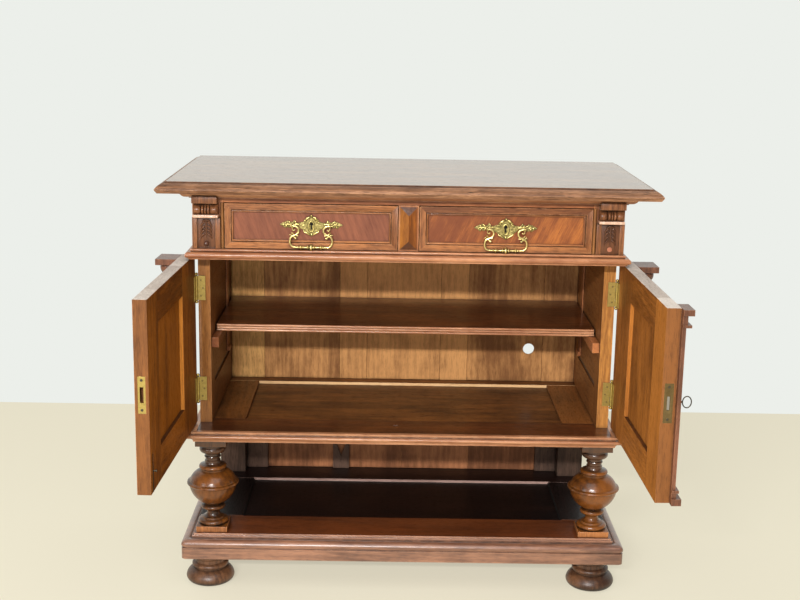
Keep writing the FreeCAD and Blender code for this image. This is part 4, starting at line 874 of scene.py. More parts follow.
@dataclass
class Joinery:
    """The boards of one CAD node, with eased edges, a grain of their own and a finish."""

    node: str
    finish: Finish
    slot: str
    way: Along = Along.LONGEST
    easing: float = 0.9 * MM
    special: dict[int, tuple[Finish, Along]] = field(default_factory=dict)
    keep: tuple[int, ...] = ()
    lip: Optional[Finish] = None
    lip_from: float = -1.0
    nose: Optional[Finish] = None
    flank: Optional[Finish] = None
    cap: Optional[Finish] = None
    step: Optional[Finish] = None
    step_depth: float = 3.4 * MM
    crease: float = EDGE_ANGLE
    facets: tuple[tuple[Point, float, Finish], ...] = ()
    screws: Optional[Finish] = None
    screw_height: float = 8 * MM

    def shells(self, mesh: bpy.types.Mesh) -> np.ndarray:
        """Tell the closed shells of a mesh of loose triangles apart.

        Args:
            mesh: The node's mesh.

        Returns:
            The shell's number for each triangle.
        """
        points = np.array([vertex.co for vertex in mesh.vertices])
        keys = np.unique(np.round(points / MM, 3), axis=0, return_inverse=True)[1].ravel()
        numbers = np.zeros(len(mesh.polygons), np.int32)
        loose: set[tuple[int, int]] = set()
        count = 0
        for index, face in enumerate(mesh.polygons):
            corners = [int(keys[vertex]) for vertex in face.vertices]
            for start, end in zip(corners, corners[1:] + corners[:1]):
                if start != end:
                    loose ^= {(min(start, end), max(start, end))}
            numbers[index] = count
            if not loose:
                count += 1
        return numbers

    def ease(self, board: Piece) -> None:
        """Merge a board's triangles into clean faces and round its edges.

        Args:
            board: One closed board.
        """
        pick(board)
        with bench():
            bpy.ops.mesh.remove_doubles(threshold=BOARD_WELD)
            bpy.ops.mesh.dissolve_limited(angle_limit=math.radians(FLAT_ANGLE))
        smooth(self.crease)
        modified(board, "BEVEL", width=self.easing, segments=2, limit_method="ANGLE",
                 angle_limit=math.radians(EDGE_ANGLE), harden_normals=True)

    def dress_faces(self, board: Piece) -> None:
        """Give a board's front, outer, inner, step, top and cut faces finishes of their own.

        Args:
            board: The eased board.
        """
        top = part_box(self.node)[1][2]
        # Some of these finishes paint light or shade: pale lips for lit edges, a black flank for shadow, a
        # dark step for the shade below the top's surface, and facets lit or shaded by the way they face.
        rules = [(self.lip, lambda face: face.normal.y < -FACING and face.center.y > self.lip_from),
                 (self.nose, lambda face: face.normal.y < -FACING and face.center.y <= self.lip_from),
                 (self.nose, lambda face: face.normal.x * face.center.x > FACING * abs(face.center.x)),
                 (self.flank, lambda face: face.normal.x * face.center.x < -SQUARE * abs(face.center.x)),
                 (self.step, lambda face: face.center.z > top - self.step_depth),
                 (self.cap, lambda face: face.normal.z > LEVEL and face.center.z > top - MM)]
        for way, least, finish in self.facets:
            rules.append((finish, lambda face, way=Vector(way), least=least: face.normal.dot(way) > least))
        for finish, chosen in rules:
            if finish is None:
                continue
            dressed(board, finish)
            for face in board.data.polygons:
                if chosen(face):
                    face.material_index = len(board.data.materials) - 1

    def split(self) -> dict[int, Piece]:
        """Copy the node's mesh and take its boards apart.

        Returns:
            The boards by their number in the node.
        """
        mesh = frame["nodes"][self.node].data.copy()
        numbers = self.shells(mesh)
        mesh.materials.clear()
        for _ in range(numbers.max() + 1):
            mesh.materials.append(None)
        mesh.polygons.foreach_set("material_index", numbers)
        mesh.attributes.new("shell", "INT", "FACE").data.foreach_set("value", numbers)
        placed(self.node + "_boards", mesh)
        with bench():
            bpy.ops.mesh.separate(type="MATERIAL")
        boards = bpy.context.selected_objects
        found = {board.data.attributes["shell"].data[0].value: board for board in boards}
        return dict(sorted(found.items()))

    def build(self) -> Piece:
        """Make the finished piece and let it stand for the node.

        Returns:
            The piece, riding on the node's body.
        """
        body = BODY_OF[self.node]
        boards = []
        for number, board in self.split().items():
            if self.keep and number not in self.keep:
                bpy.data.objects.remove(board)
                continue
            boards.append(board)
            finish, way = self.special.get(number, (self.finish, self.way))
            if self.screws and board.dimensions.z < self.screw_height:
                finish = self.screws
            board.data.attributes.remove(board.data.attributes["shell"])
            self.ease(board)
            mark_grain(board, way, body, random.Random(f"{self.node} {number}").random())
            board.data.polygons.foreach_set("material_index", np.zeros(len(board.data.polygons), np.int32))
            board.data.materials.clear()
            dressed(board, finish)
            self.dress_faces(board)
        whole = joined(self.node + "_boards", boards)
        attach(whole, body)
        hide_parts(self.node)
        log.info("%s: %d boards", whole.name, len(boards))
        return whole


def joinery() -> list[Joinery]:
    """List every piece of cabinet work with its finish.

    Returns:
        The pieces in the order in which they are made.
    """

    def back_and_sides(finish: Finish) -> dict[int, tuple[Finish, Along]]:
        """Finish for the back and the two side members of a frame, by number."""
        return {1: (finish, Along.ACROSS), 2: (finish, Along.DEEP), 3: (finish, Along.DEEP)}

    work = [Joinery(node, FRIEZE_WAX, "case_wood") for node in ("drawer_stage_boards", "frieze_rail")]
    # The bed moulding takes the lighter lower moulding finish: painted light against the shade under the
    # top's overhang.
    work.append(Joinery("bed_moulding", LOWER_WAX, "case_wood", easing=0.5 * MM))
    work += [Joinery(node, WALL_WAX, "case_wood") for node in ("left_side_panel", "right_side_panel")]
    # Side frame fronts: painted shade on the left, painted light on the right.
    work += [Joinery("left_side_frame", WALL_WAX, "case_wood", lip=STILE_SHADED),
             Joinery("right_side_frame", WALL_WAX, "case_wood", lip=STILE_LIT)]
    # Each facet of the diamond takes a tone by the way it faces: painted light and painted shade.
    flat, slope = 0.98, 0.12
    diamond = (((0, -1, 0), flat, DIAMOND_RIM), ((-1, 0, 0), slope, DIAMOND_LEFT_LIT),
               ((1, 0, 0), slope, DIAMOND_RIGHT_SHADED), ((0, 0, 1), slope, DIAMOND_TOP_SHADED),
               ((0, 0, -1), slope, DIAMOND_LOW_SHADED))
    work += [Joinery("drawer_divider", DIVIDER_WAX, "case_wood", Along.UP, 0.6 * MM, crease=5.0,
                     facets=diamond),
             Joinery("waist_board", MOULD_WAX, "case_wood"),
             Joinery("lower_moulding", LOWER_WAX, "case_wood")]
    work += [Joinery(node, STILE_SHADED, "case_wood", Along.UP, keep=(1,))
             for node in ("left_console", "right_console")]
    work.append(Joinery("top_board", TOP_EDGE, "top_wood", easing=0.45 * MM, cap=TOP_POLISH, step=TOP_STEP_SHADE))
    work += [Joinery(node, INNER_DRY, "inner_wood", Along.UP, 1.4 * MM)
             for node in ("plain_back_panels", "holed_back_panel")]
    work.append(Joinery("back_uprights", INNER_DRY, "inner_wood", Along.UP, 1.4 * MM,
                        {0: (INNER_PALE, Along.UP)}))
    work.append(Joinery("lower_back_boards", LOWER_DRY, "inner_wood", Along.UP, 1.4 * MM))
    work += [Joinery(node, RAW_OAK, "inner_wood")
             for node in ("drawer_guides", "left_drawer_box", "right_drawer_box", "left_drawer_bottom",
                          "right_drawer_bottom")]
    # The shelf's front faces take the lighter moulding finish: partly worn lighter wood, partly painted
    # highlight.
    work += [Joinery("shelf", DARK_POLISH, "dark_wood", lip=LOWER_WAX),
             Joinery("floor_frame", DARK_POLISH, "dark_wood", lip=LIT_LIP, lip_from=0.4,
                     special=back_and_sides(FLOOR_WAX)),
             Joinery("floor_panel", FLOOR_WAX, "dark_wood"),
             Joinery("shelf_battens", FRIEZE_WAX, "dark_wood"),
             # Stage rails: painted highlight on the back rail's front, painted shadow on the inner flanks,
             # painted shade on the back and side rails.
             Joinery("plinth_frame", STAGE_POLISH, "dark_wood", lip=STAGE_LIP_HIGHLIGHT, lip_from=0.3, nose=BASE_WAX,
                     flank=SHADOW_BLACK, easing=0.5 * MM, special=back_and_sides(STAGE_SHADE)),
             Joinery("plinth_panel", STAGE_SHADE, "dark_wood")]
    work += [Joinery(node, BLACK_STAIN, "dark_wood", Along.UP) for node in ("rear_posts", "lower_back_frame")]
    work.append(Joinery("plinth_blocks", BASE_WAX, "base_wood"))
    mouldings = {number: (FRAME_WAX, Along.LONGEST) for number in range(4, 8)}
    # The right door takes the lighter copy of the door wax: painted light.
    for side, finish, lean, wax in ((Side.LEFT, FIELD_LEFT, Along.LEANING_LEFT, DOOR_WAX),
                                    (Side.RIGHT, FIELD_RIGHT, Along.LEANING_RIGHT, DOOR_WAX_LIT)):
        work += [Joinery(f"{side.word}_door_frame", wax, "door_wood", special=mouldings, lip=DOOR_EDGE,
                         nose=FRAME_WAX, cap=DOOR_TOP_SHEEN),
                 Joinery(f"{side.word}_door_panel", wax, "door_wood", nose=FIELD_LEFT),
                 Joinery(f"{side.word}_column", COLUMN_WAX, "door_wood", Along.UP, 0.6 * MM),
                 Joinery(f"{side.word}_drawer_front", FRAME_WAX, "drawer_wood", easing=0.5 * MM,
                         special={0: (finish, lean)})]
    work.append(Joinery("centre_pilaster", COLUMN_WAX, "door_wood", Along.UP))
    return work


def metalwork() -> list[Joinery]:
    """List the pieces of metal, and the turned drops of the consoles, that keep their CAD form.

    Returns:
        The pieces in the order in which they are made.
    """
    plates = [Joinery(node, BRASS_PLATE, "brass", easing=0.3 * MM, screws=SCREW_BRASS)
              for node in ("case_hinge_leaves", "left_door_hinges", "right_door_hinges")]
    plates += [Joinery("strike_plate", BRASS_PLATE, "brass", easing=0.3 * MM),
               Joinery("door_lock", LOCK_PLATE, "brass", easing=0.3 * MM),
               Joinery("flush_bolt", DARK_STEEL, "brass", easing=0.25 * MM)]
    plates += [Joinery(node, IRON, "iron", easing=0.3 * MM)
               for node in ("lock_bolt", "left_drawer_lock", "right_drawer_lock")]
    plates.append(Joinery("console_carvings", BALL_POLISH, "case_wood", Along.UP, 0.3 * MM,
                          special={3: (PALE_STUMP, Along.UP)}, keep=(1, 3)))
    return plates


def stroke(curve: bpy.types.Curve, points: Sequence[Point], closed: bool, handles: str) -> bpy.types.Spline:
    """Draw one line of a curve.

    Args:
        curve: The curve.
        points: What the line goes through.
        closed: Join the last point to the first.
        handles: Type of its handles, which bend it or keep it straight.

    Returns:
        The line.
    """
    line = curve.splines.new("BEZIER")
    line.bezier_points.add(len(points) - 1)
    line.use_cyclic_u = closed
    for knot, place in zip(line.bezier_points, points):
        knot.co = place
        knot.handle_left_type = knot.handle_right_type = handles
    return line


def swept(points: Sequence[Point], radii: Sequence[float], closed: bool = False) -> Piece:
    """Draw a round bar of changing thickness along a smooth line.

    Args:
        points: The line's points in metres.
        radii: The bar's radius at each point.
        closed: Join the last point to the first.

    Returns:
        The bar as a closed mesh.
    """
    curve = bpy.data.curves.new("bar", "CURVE")
    curve.dimensions = "3D"
    curve.bevel_depth = 1.0
    curve.bevel_resolution = 3
    curve.resolution_u = 8
    curve.use_fill_caps = True
    for knot, radius in zip(stroke(curve, points, closed, "AUTO").bezier_points, radii):
        knot.radius = radius
    placed("bar", curve)
    bpy.ops.object.convert(target="MESH")
    return bpy.context.object


def turned(profile: Sequence[Pair], start: Point, axis: Point, steps: int = 24) -> Piece:
    """Turn a profile on the lathe.

    Args:
        profile: Steps of distance along the axis and radius.
        start: Where the axis starts.
        axis: Unit direction of the axis, square to Y.
        steps: Faces round the piece.

    Returns:
        The turned piece, closed at both ends.
    """
    centre, way, out = Vector(start), Vector(axis), Vector((0, -1, 0))
    ends = [(profile[0][0], 0.0), *profile, (profile[-1][0], 0.0)]
    points = [centre + way * distance + out * radius for distance, radius in ends]
    mesh = bpy.data.meshes.new("turned")
    mesh.from_pydata(points, [(index, index + 1) for index in range(len(points) - 1)], [])
    piece = placed("turned", mesh)
    with bench():
        bpy.ops.mesh.spin(steps=steps, angle=2 * math.pi, center=centre, axis=way)
        weld()
    return piece


def block(low: Point, high: Point, easing: float, segments: int = 3) -> Piece:
    """Plane a block of wood to size and round its edges.

    Args:
        low: Its lowest corner.
        high: Its highest corner.
        easing: Width of the rounding.
        segments: Faces across the rounding.

    Returns:
        The block.
    """
    size = Vector(high) - Vector(low)
    piece = fresh(bpy.ops.mesh.primitive_cube_add, size=1)
    with bench():
        bpy.ops.transform.resize(value=size)
        bpy.ops.transform.translate(value=Vector(low) + size / 2)
        bpy.ops.mesh.bevel(offset=easing, segments=segments, affect="EDGES")
    smooth(BLOCK_ANGLE)
    return piece


def cast(name: str, parts: Sequence[Piece], skin: float, share: float) -> Piece:
    """Melt parts that overlap into one piece with soft inner corners.

    Args:
        name: Name of the piece.
        parts: Closed meshes.
        skin: Size of the faces of the first skin.
        share: How much of that skin is kept.

    Returns:
        The piece.
    """
    piece = joined(name, parts)
    with bench():
        weld()
    modified(piece, "REMESH", mode="VOXEL", voxel_size=skin)
    modified(piece, "SMOOTH", factor=0.4, iterations=2)
    modified(piece, "DECIMATE", ratio=share)
    bpy.ops.object.shade_smooth()
    return piece


def copied(piece: Piece, name: str, shift: Point = (0, 0, 0), mirror: bool = False) -> Piece:
    """Copy a piece with a mesh of its own.

    Args:
        piece: What is copied.
        name: Name of the copy.
        shift: How far the copy is moved.
        mirror: Turn it into its mirror image across the middle of the cabinet.

    Returns:
        The copy.
    """
    pick(piece)
    bpy.ops.object.duplicate(linked=False)
    copy = bpy.context.object
    copy.name = name
    with bench():
        if mirror:
            mirrored()
        bpy.ops.transform.translate(value=shift)
    return copy


def settle(piece: Piece, body: str, slot: str, *nodes: str) -> None:
    """Tie a modelled and finished piece to the frame.

    Args:
        piece: The piece.
        body: The CAD body it rides on.
        slot: Its material slot; not used.
        nodes: CAD nodes it stands for.
    """
    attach(piece, body)
    if nodes:
        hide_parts(*nodes)
    log.info("%s: %d faces", piece.name, len(piece.data.polygons))


@dataclass
class Handle:
    """Cast brass plate with leaf ends, and the bail that hangs from its two eyes; sizes in millimetres."""

    centre: Pair = (-235.5, 942.0)
    field_plane: float = -16.5
    plate_thickness: float = 1.7
    pivot_plane: float = -30.5
    eye_offset: float = 46.0
    eye_radius: float = 4.1
    leg_offset: float = 41.0
    upper_bend: float = 11.5
    lower_bend: float = 14.6
    bar_radius: float = 2.6
    edge: tuple[Pair, ...] = (
        (3.5, 21.5), (9.5, 18.8), (14.0, 14.0), (17.5, 13.5), (16.0, 10.3), (22.0, 8.2), (27.0, 6.0),
        (30.0, 7.2), (33.5, 5.6), (37.0, 8.6), (41.0, 13.6), (44.0, 8.0), (48.0, 7.4), (53.0, 9.0),
        (57.0, 12.0), (59.5, 8.2), (64.5, 9.4), (66.0, 6.6), (70.5, 5.2), (77.0, 1.6), (71.5, -1.8),
        (67.5, -4.0), (61.5, -8.4), (58.5, -4.2), (52.5, -7.4), (49.5, -3.6), (43.0, -4.6), (36.0, -3.0),
        (30.5, -3.2), (26.5, -7.8), (21.0, -11.0), (18.5, -15.5), (15.5, -18.5), (9.4, -22.0), (3.5, -25.0))
    crest: float = 27.4
    tail: float = -28.0
    keyhole_radius: float = 3.8
    keyhole_rise: float = 3.0
    keyhole_slot: float = 2.1
    keyhole_drop: float = -10.0
    keyhole_arc: range = range(-65, 246, 31)
    keyhole_rim: Pair = (6.6, 12.6)
    rim_drop: float = 2.4
    rim_wire: float = 1.6
    eye_wire: float = 1.4
    knop_core: float = 1.7
    knop_swell: float = 1.35

    def at(self, x: float, z: float, y: float) -> Point:
        """Place a point of the handle, in metres."""
        return mm(self.centre[0] + x, y, self.centre[1] + z)

    def bars(self, lines: Sequence[Sequence[tuple[float, float, float]]], plane: float) -> list[Piece]:
        """Draw round bars on both halves of the handle.

        Args:
            lines: Lines of x, z and radius on the right half; those on the middle line are drawn once.
            plane: Their Y.

        Returns:
            The bars.
        """
        made = []
        for line in lines:
            for side in Side:
                if side is Side.LEFT and all(x == 0 for x, _, _ in line):
                    continue
                points = [self.at(side.value * x, z, plane) for x, z, _ in line]
                made.append(swept(points, mm(*(radius for _, _, radius in line))))
        return made

    def sheet(self) -> Piece:
        """Cut the flat of the plate with its keyhole.

        Returns:
            The flat plate.
        """
        curve = bpy.data.curves.new("sheet", "CURVE")
        curve.dimensions = "2D"
        curve.fill_mode = "BOTH"
        curve.extrude = self.plate_thickness / 2 * MM
        curve.resolution_u = 6
        mirror = [(-x, z) for x, z in reversed(self.edge)]
        rim = [(0.0, self.crest), *self.edge, (0.0, self.tail), *mirror]
        wide = self.keyhole_radius
        steps = [math.radians(angle) for angle in self.keyhole_arc]
        hole = [(wide * math.cos(turn), wide * math.sin(turn) + self.keyhole_rise) for turn in steps]
        hole += [(-self.keyhole_slot, self.keyhole_drop), (self.keyhole_slot, self.keyhole_drop)]
        for points in (rim, hole):
            flat = [mm(self.centre[0] + x, self.centre[1] + z, 0) for x, z in points]
            stroke(curve, flat, True, "VECTOR")
        plate = placed("sheet", curve)
        plate.rotation_euler = (math.pi / 2, 0, 0)
        plate.location = (0, (self.field_plane - self.plate_thickness / 2) * MM, 0)
        bpy.ops.object.convert(target="MESH")
        bpy.ops.object.transform_apply()
        return bpy.context.object

    def plate(self) -> Piece:
        """Model the plate with its scrolls, leaves, keyhole rim and eyes.

        Returns:
            The left drawer's plate.
        """
        face = self.field_plane - self.plate_thickness
        parts = [self.sheet()]
        wide, tall = self.keyhole_rim
        oval = [self.at(wide * math.cos(turn), tall * math.sin(turn) - self.rim_drop, face)
                for turn in TWELFTHS]
        parts.append(swept(oval, [self.rim_wire * MM] * len(oval), closed=True))
        scrolls = [
            [(0, 19.5, 1.0), (0, 23.5, 2.2), (0, 27, 0.4)],
            [(2.8, 21.5, 0.8), (6, 19.5, 2.4), (10.5, 16.5, 3.0), (14.2, 12.5, 2.1), (13, 9.5, 1.5),
             (11, 10.5, 0.9)],
            [(0, -18, 0.8), (0, -22.5, 2.1), (0, -27.5, 0.4)],
            [(18, -12, 0.8), (17.2, -15.5, 2.0), (12, -18.5, 2.4), (7, -21.5, 1.9), (2.8, -24.5, 0.7)]]
        ribs = [[(12, 0.5, 0.5), (20, 0.3, 1.3), (29, 0.5, 0.5)],
                [(12, 5, 0.5), (17, 7, 1.2), (23, 7, 0.4)],
                [(12, -6, 0.5), (17, -8, 1.2), (22, -9.6, 0.4)],
                [(15.5, 11.5, 0.6), (17.2, 13.2, 1.5), (17.8, 14, 0.3)]]
        leaf = [[(29, 1.5, 1.2), (38, 2.5, 1.7), (52, 2, 1.5), (64, 1.8, 1.1), (76, 1.6, 0.4)]]
        veins = (((34, 2.5), (40.8, 12.8)), ((46, 2.5), (56.5, 11.2)), ((56, 2), (64, 8.2)),
                 ((58, 1.8), (61.4, -7.2)), ((47, 2), (52.6, -6.4)), ((64, 1.8), (68.5, -2.0)),
                 ((32, 2), (30, 6.4)), ((40, 2.2), (47.5, 6.8)))
        for foot, tip in veins:
            bend = (foot[0] * 0.45 + tip[0] * 0.55 + 1, foot[1] * 0.5 + tip[1] * 0.5)
            leaf.append([(*foot, 0.8), (*bend, 2.0), (*tip, 0.5)])
        parts += self.bars(scrolls + ribs + leaf, face)
        for side in Side:
            across = side.value * self.eye_offset
            stem = [(face + 1, 4.2), (face - 2.5, 2.6), (self.pivot_plane + self.eye_radius, 1.9)]
            parts.append(swept([self.at(across, 0, y) for y, _ in stem], mm(*(radius for _, radius in stem))))
            eye = self.eye_radius
            ring = [self.at(across, eye * math.sin(turn), self.pivot_plane + eye * math.cos(turn))
                    for turn in TWELFTHS]
            parts.append(swept(ring, [self.eye_wire * MM] * len(ring), closed=True))
        return cast("left_handle_casting", parts, 0.4 * MM, 0.35)

    def bail(self) -> Piece:
        """Model the hanging bail with its scrolls and knops.

        Returns:
            The left drawer's bail.
        """
        waist = -2 * self.upper_bend
        low = waist - 2 * self.lower_bend
        leg, bar = self.leg_offset, self.bar_radius
        legs = [
            [(leg + 8, 0, bar), (leg + 4, 0, bar), (leg - 2, -0.4, bar), (leg - 9, -4.5, 2.7),
             (leg - 11.2, -11, 2.5), (leg - 8, -18.0, 2.7), (leg, waist, 3.0), (leg + 7, -27, 2.8),
             (leg + 10, -35.5, 2.6), (leg + 8.5, -45, 2.6), (leg + 2.5, -51, 2.4), (leg - 6, low, 2.0)],
            [(leg + 1, -1, 1.5), (leg + 4.2, -5.5, 1.4), (leg + 2.2, -10.5, 1.2), (leg - 1.5, -9, 1.5),
             (leg - 1, -7.5, 0.5)],
            [(leg - 3, waist + 1, 1.1), (leg + 2.5, -19.5, 1.5), (leg + 5, -16.6, 2.9),
             (leg + 6.2, -14.6, 0.5)],
            [(leg + 5, -26.5, 1.1), (leg, -27.2, 1.5), (leg - 4, -30.4, 3.3), (leg - 5.4, -32.8, 0.5)],
            [(leg - 2, waist, 0.8), (leg - 6.5, -24, 1.3), (leg - 10, -21.5, 0.4)],
            [(leg + 3, waist - 1, 0.8), (leg + 9, -21.5, 1.3), (leg + 12.5, -23.5, 0.4)]]
        half = [(0.0, 7.0), (2.2, 6.6), (3.4, 3.4), (5.0, 3.2), (6.2, 4.6), (7.8, 4.4), (9.5, 2.4),
                (18.0, 1.9), (20.5, 3.2), (22.0, 2.6), (23.6, 5.0), (25.2, 4.6), (26.5, 2.4), (29.0, 3.0),
                (31.0, 1.9), (leg, 1.8)]
        half = [(x, self.knop_core + (r - self.knop_core) * self.knop_swell) for x, r in half]
        profile = [mm(-x, r) for x, r in reversed(half[1:])] + [mm(x, r) for x, r in half]
        parts = self.bars(legs, self.pivot_plane)
        parts.append(turned(profile, self.at(0, low, self.pivot_plane), (1, 0, 0)))
        return cast("left_bail_casting", parts, 0.45 * MM, 0.4)

    def build(self) -> None:
        """Model the left handle once and copy it to the right drawer."""
        over = (-2 * self.centre[0] * MM, 0, 0)
        castings = ((self.plate(), "handle_plate", "drawer", BRASS_PLAQUE),
                    (self.bail(), "handle_bail", "bail", BRASS_CAST))
        for piece, word, carrier, finish in castings:
            dressed(piece, finish)
            copy = copied(piece, piece.name.replace("left", "right"), over)
            for side, made in ((Side.LEFT, piece), (Side.RIGHT, copy)):
                settle(made, f"{side.word}_{carrier}", "brass", f"{side.word}_{word}")
        # A near-black block behind each keyhole paints the shadow inside it.
        low, high = (-4.6, -11.5, self.field_plane - 0.5), (4.6, 8.0, self.field_plane + 0.2)
        dark = block(self.at(*low), self.at(*high), 0.1 * MM)
        dark.name = "left_keyhole_ground"
        dressed(dark, SHADOW_BLACK)
        mark_grain(dark, Along.UP, "left_drawer", seed=0.5)
        for side, made in ((Side.LEFT, dark), (Side.RIGHT, copied(dark, "right_keyhole_ground", over))):
            settle(made, f"{side.word}_drawer", "iron")


@dataclass
class Console:
    """Carved block on a corner post: sunk panel with a leaf, ledge, reeded cushion, cap; in millimetres."""

    outer: float = -522.0
    width: float = 68.0
    back: float = -22.5
    front: float = -30.5
    ground: float = -26.5
    foot: float = 883.0
    ledge: Pair = (960.0, 967.5)
    cushion_top: float = 995.5
    cap_top: float = 1012.5
    border: float = 12.0
    reach: float = -50.5
    lintel: float = 3.0
    ledge_reach: float = -46.5
    ledge_inset: float = 3.0
    ledge_easing: float = 2.4
    neck_inset: float = 4.0
    cap_inset: Pair = (2.0, 5.0)
    reeds: tuple[float, ...] = (18.4, 6.8, 5.0, 6.8, 18.4)
    groove: float = 1.1
    swell: float = 16.0
    rounding: float = 3.5
    lobe_pairs: int = 4
    lobe_pitch: float = 9.5

    def cube(self, x0: float, x1: float, y0: float, z0: float, z1: float, easing: float = 0.8,
             finish: Finish = CONSOLE_WAX) -> Piece:
        """Plane one block of the console from the post's face forward.

        Args:
            x0: Its outer side, from the console's outer side.
            x1: Its inner side.
            y0: Its front.
            z0: Its foot.
            z1: Its top.
            easing: Width of its rounded edges.
            finish: Its finish.

        Returns:
            The block.
        """
        piece = block(mm(self.outer + x0, y0, z0), mm(self.outer + x1, self.back, z1), easing * MM)
        dressed(piece, finish)
        return piece

    def reed(self, start: float, width: float) -> Piece:
        """Shape one swelling reed of the cushion.

        Args:
            start: Its outer side, from the console's outer side.
            width: Its width.

        Returns:
            The reed.
        """
        piece = self.cube(start, start + width, self.front, self.ledge[1], self.cushion_top, 0.2)
        pick(piece)
        with bench():
            bpy.ops.mesh.subdivide(number_cuts=7)
        low, tall = mm(self.ledge[1], self.cushion_top - self.ledge[1])
        middle = (self.outer + start + width / 2) * MM
        for vertex in piece.data.vertices:
            rise = (vertex.co.z - low) / tall
            side = (vertex.co.x - middle) / (width / 2 * MM)
            share = (vertex.co.y / MM - self.back) / (self.front - self.back)
            swell = math.sin(math.pi * min(1.0, 0.12 + rise * 0.95)) ** 0.6
            vertex.co.y -= max(share, 0) * swell * (self.swell - self.rounding * side ** 4) * MM
        smooth(REED_ANGLE)
        return piece

    def block_work(self) -> Piece:
        """Join ground, borders, ledge, cushion and cap.

        Returns:
            The left console without its leaf.
        """
        wide = self.width
        top = self.ledge[0]
        parts = [self.cube(0, wide, self.ground, self.foot, top, finish=CARVED_WAX),
                 self.cube(0, self.border, self.front, self.foot, top),
                 self.cube(wide - self.border, wide, self.front, self.foot, top),
                 self.cube(0, wide, self.front, top - self.lintel, top),
                 # The ledge takes a painted highlight.
                 self.cube(self.ledge_inset, wide - self.ledge_inset, self.ledge_reach, top, self.ledge[1],
                           self.ledge_easing, LEDGE_HIGHLIGHT),
                 self.cube(self.neck_inset, wide - self.neck_inset, self.front, top, self.cap_top),
                 self.cube(self.cap_inset[0], wide - self.cap_inset[1], self.reach, self.cushion_top,
                           self.cap_top)]
        start = self.neck_inset
        for width in self.reeds:
            parts.append(self.reed(start, width))
            start += width + self.groove
        return joined("left_console_block", parts)

    def leaf(self) -> Piece:
        """Carve the hanging leaf in the sunk panel.

        Returns:
            The leaf of the left console.
        """
        middle = self.outer + self.width / 2
        top = self.ledge[0] - 6

        def bar(line: Sequence[tuple[float, float, float, float]]) -> Piece:
            """Carve one rounded ridge through steps of x, drop, rise from the ground and radius."""
            points = [mm(middle + x, self.ground - rise, top - drop) for x, drop, rise, _ in line]
            return swept(points, mm(*(radius for *_, radius in line)))

        parts = [bar([(-11, 7, 0, 0.8), (-6, 2.5, 2.4, 2.4), (1, 1.2, 3.2, 2.8), (7, 3, 2.4, 2.2),
                      (11, 7.5, 0, 0.8)]),
                 bar([(0, 2, 1, 2.2), (0, 14, 0.8, 2.6), (0, 30, 0.5, 2.2), (0, 46, 0, 0.8)])]
        for step in range(self.lobe_pairs):
            drop = 6 + self.lobe_pitch * step
            for side in Side:
                sign = side.value
                parts.append(bar([(sign * 1.5, drop, 0.5, 1.2), (sign * 7, drop + 2.5, 1.2, 2.9),
                                  (sign * 12, drop + 9, 0.4, 2.2), (sign * 14, drop + 14, 0, 0.6)]))
        return cast("left_console_leaf", parts, 0.6 * MM, 0.5)

    def build(self) -> None:
        """Model the left console once and mirror it to the right corner."""
        leaf = self.leaf()
        dressed(leaf, CARVED_WAX)
        for piece, seed in ((self.block_work(), 0.31), (leaf, 0.67)):
            copy = copied(piece, piece.name.replace("left", "right"), mirror=True)
            for made, shift in ((piece, 0.0), (copy, 0.23)):
                mark_grain(made, Along.UP, "case", seed + shift)
                settle(made, "case", "case_wood")


def arc(start: Pair, middle: Pair, end: Pair, count: int = 6) -> list[Pair]:
    """Points of the circle through three points, without the first one.

    Args:
        start: Where the arc starts.
        middle: A point on it.
        end: Where it ends.
        count: How many points are given.

    Returns:
        The points after the start, up to the end.
    """
    (ax, ay), (bx, by), (cx, cy) = start, middle, end
    double = 2 * (ax * (by - cy) + bx * (cy - ay) + cx * (ay - by))
    squares = [x * x + y * y for x, y in (start, middle, end)]
    ox = (squares[0] * (by - cy) + squares[1] * (cy - ay) + squares[2] * (ay - by)) / double
    oy = (squares[0] * (cx - bx) + squares[1] * (ax - cx) + squares[2] * (bx - ax)) / double
    radius = math.hypot(ax - ox, ay - oy)
    first, mid, last = (math.atan2(y - oy, x - ox) for x, y in (start, middle, end))
    turn = (last - first) % (2 * math.pi)
    if (mid - first) % (2 * math.pi) > turn:
        turn -= 2 * math.pi
    angles = [first + turn * step / count for step in range(1, count + 1)]
    return [(ox + radius * math.cos(angle), oy + radius * math.sin(angle)) for angle in angles]


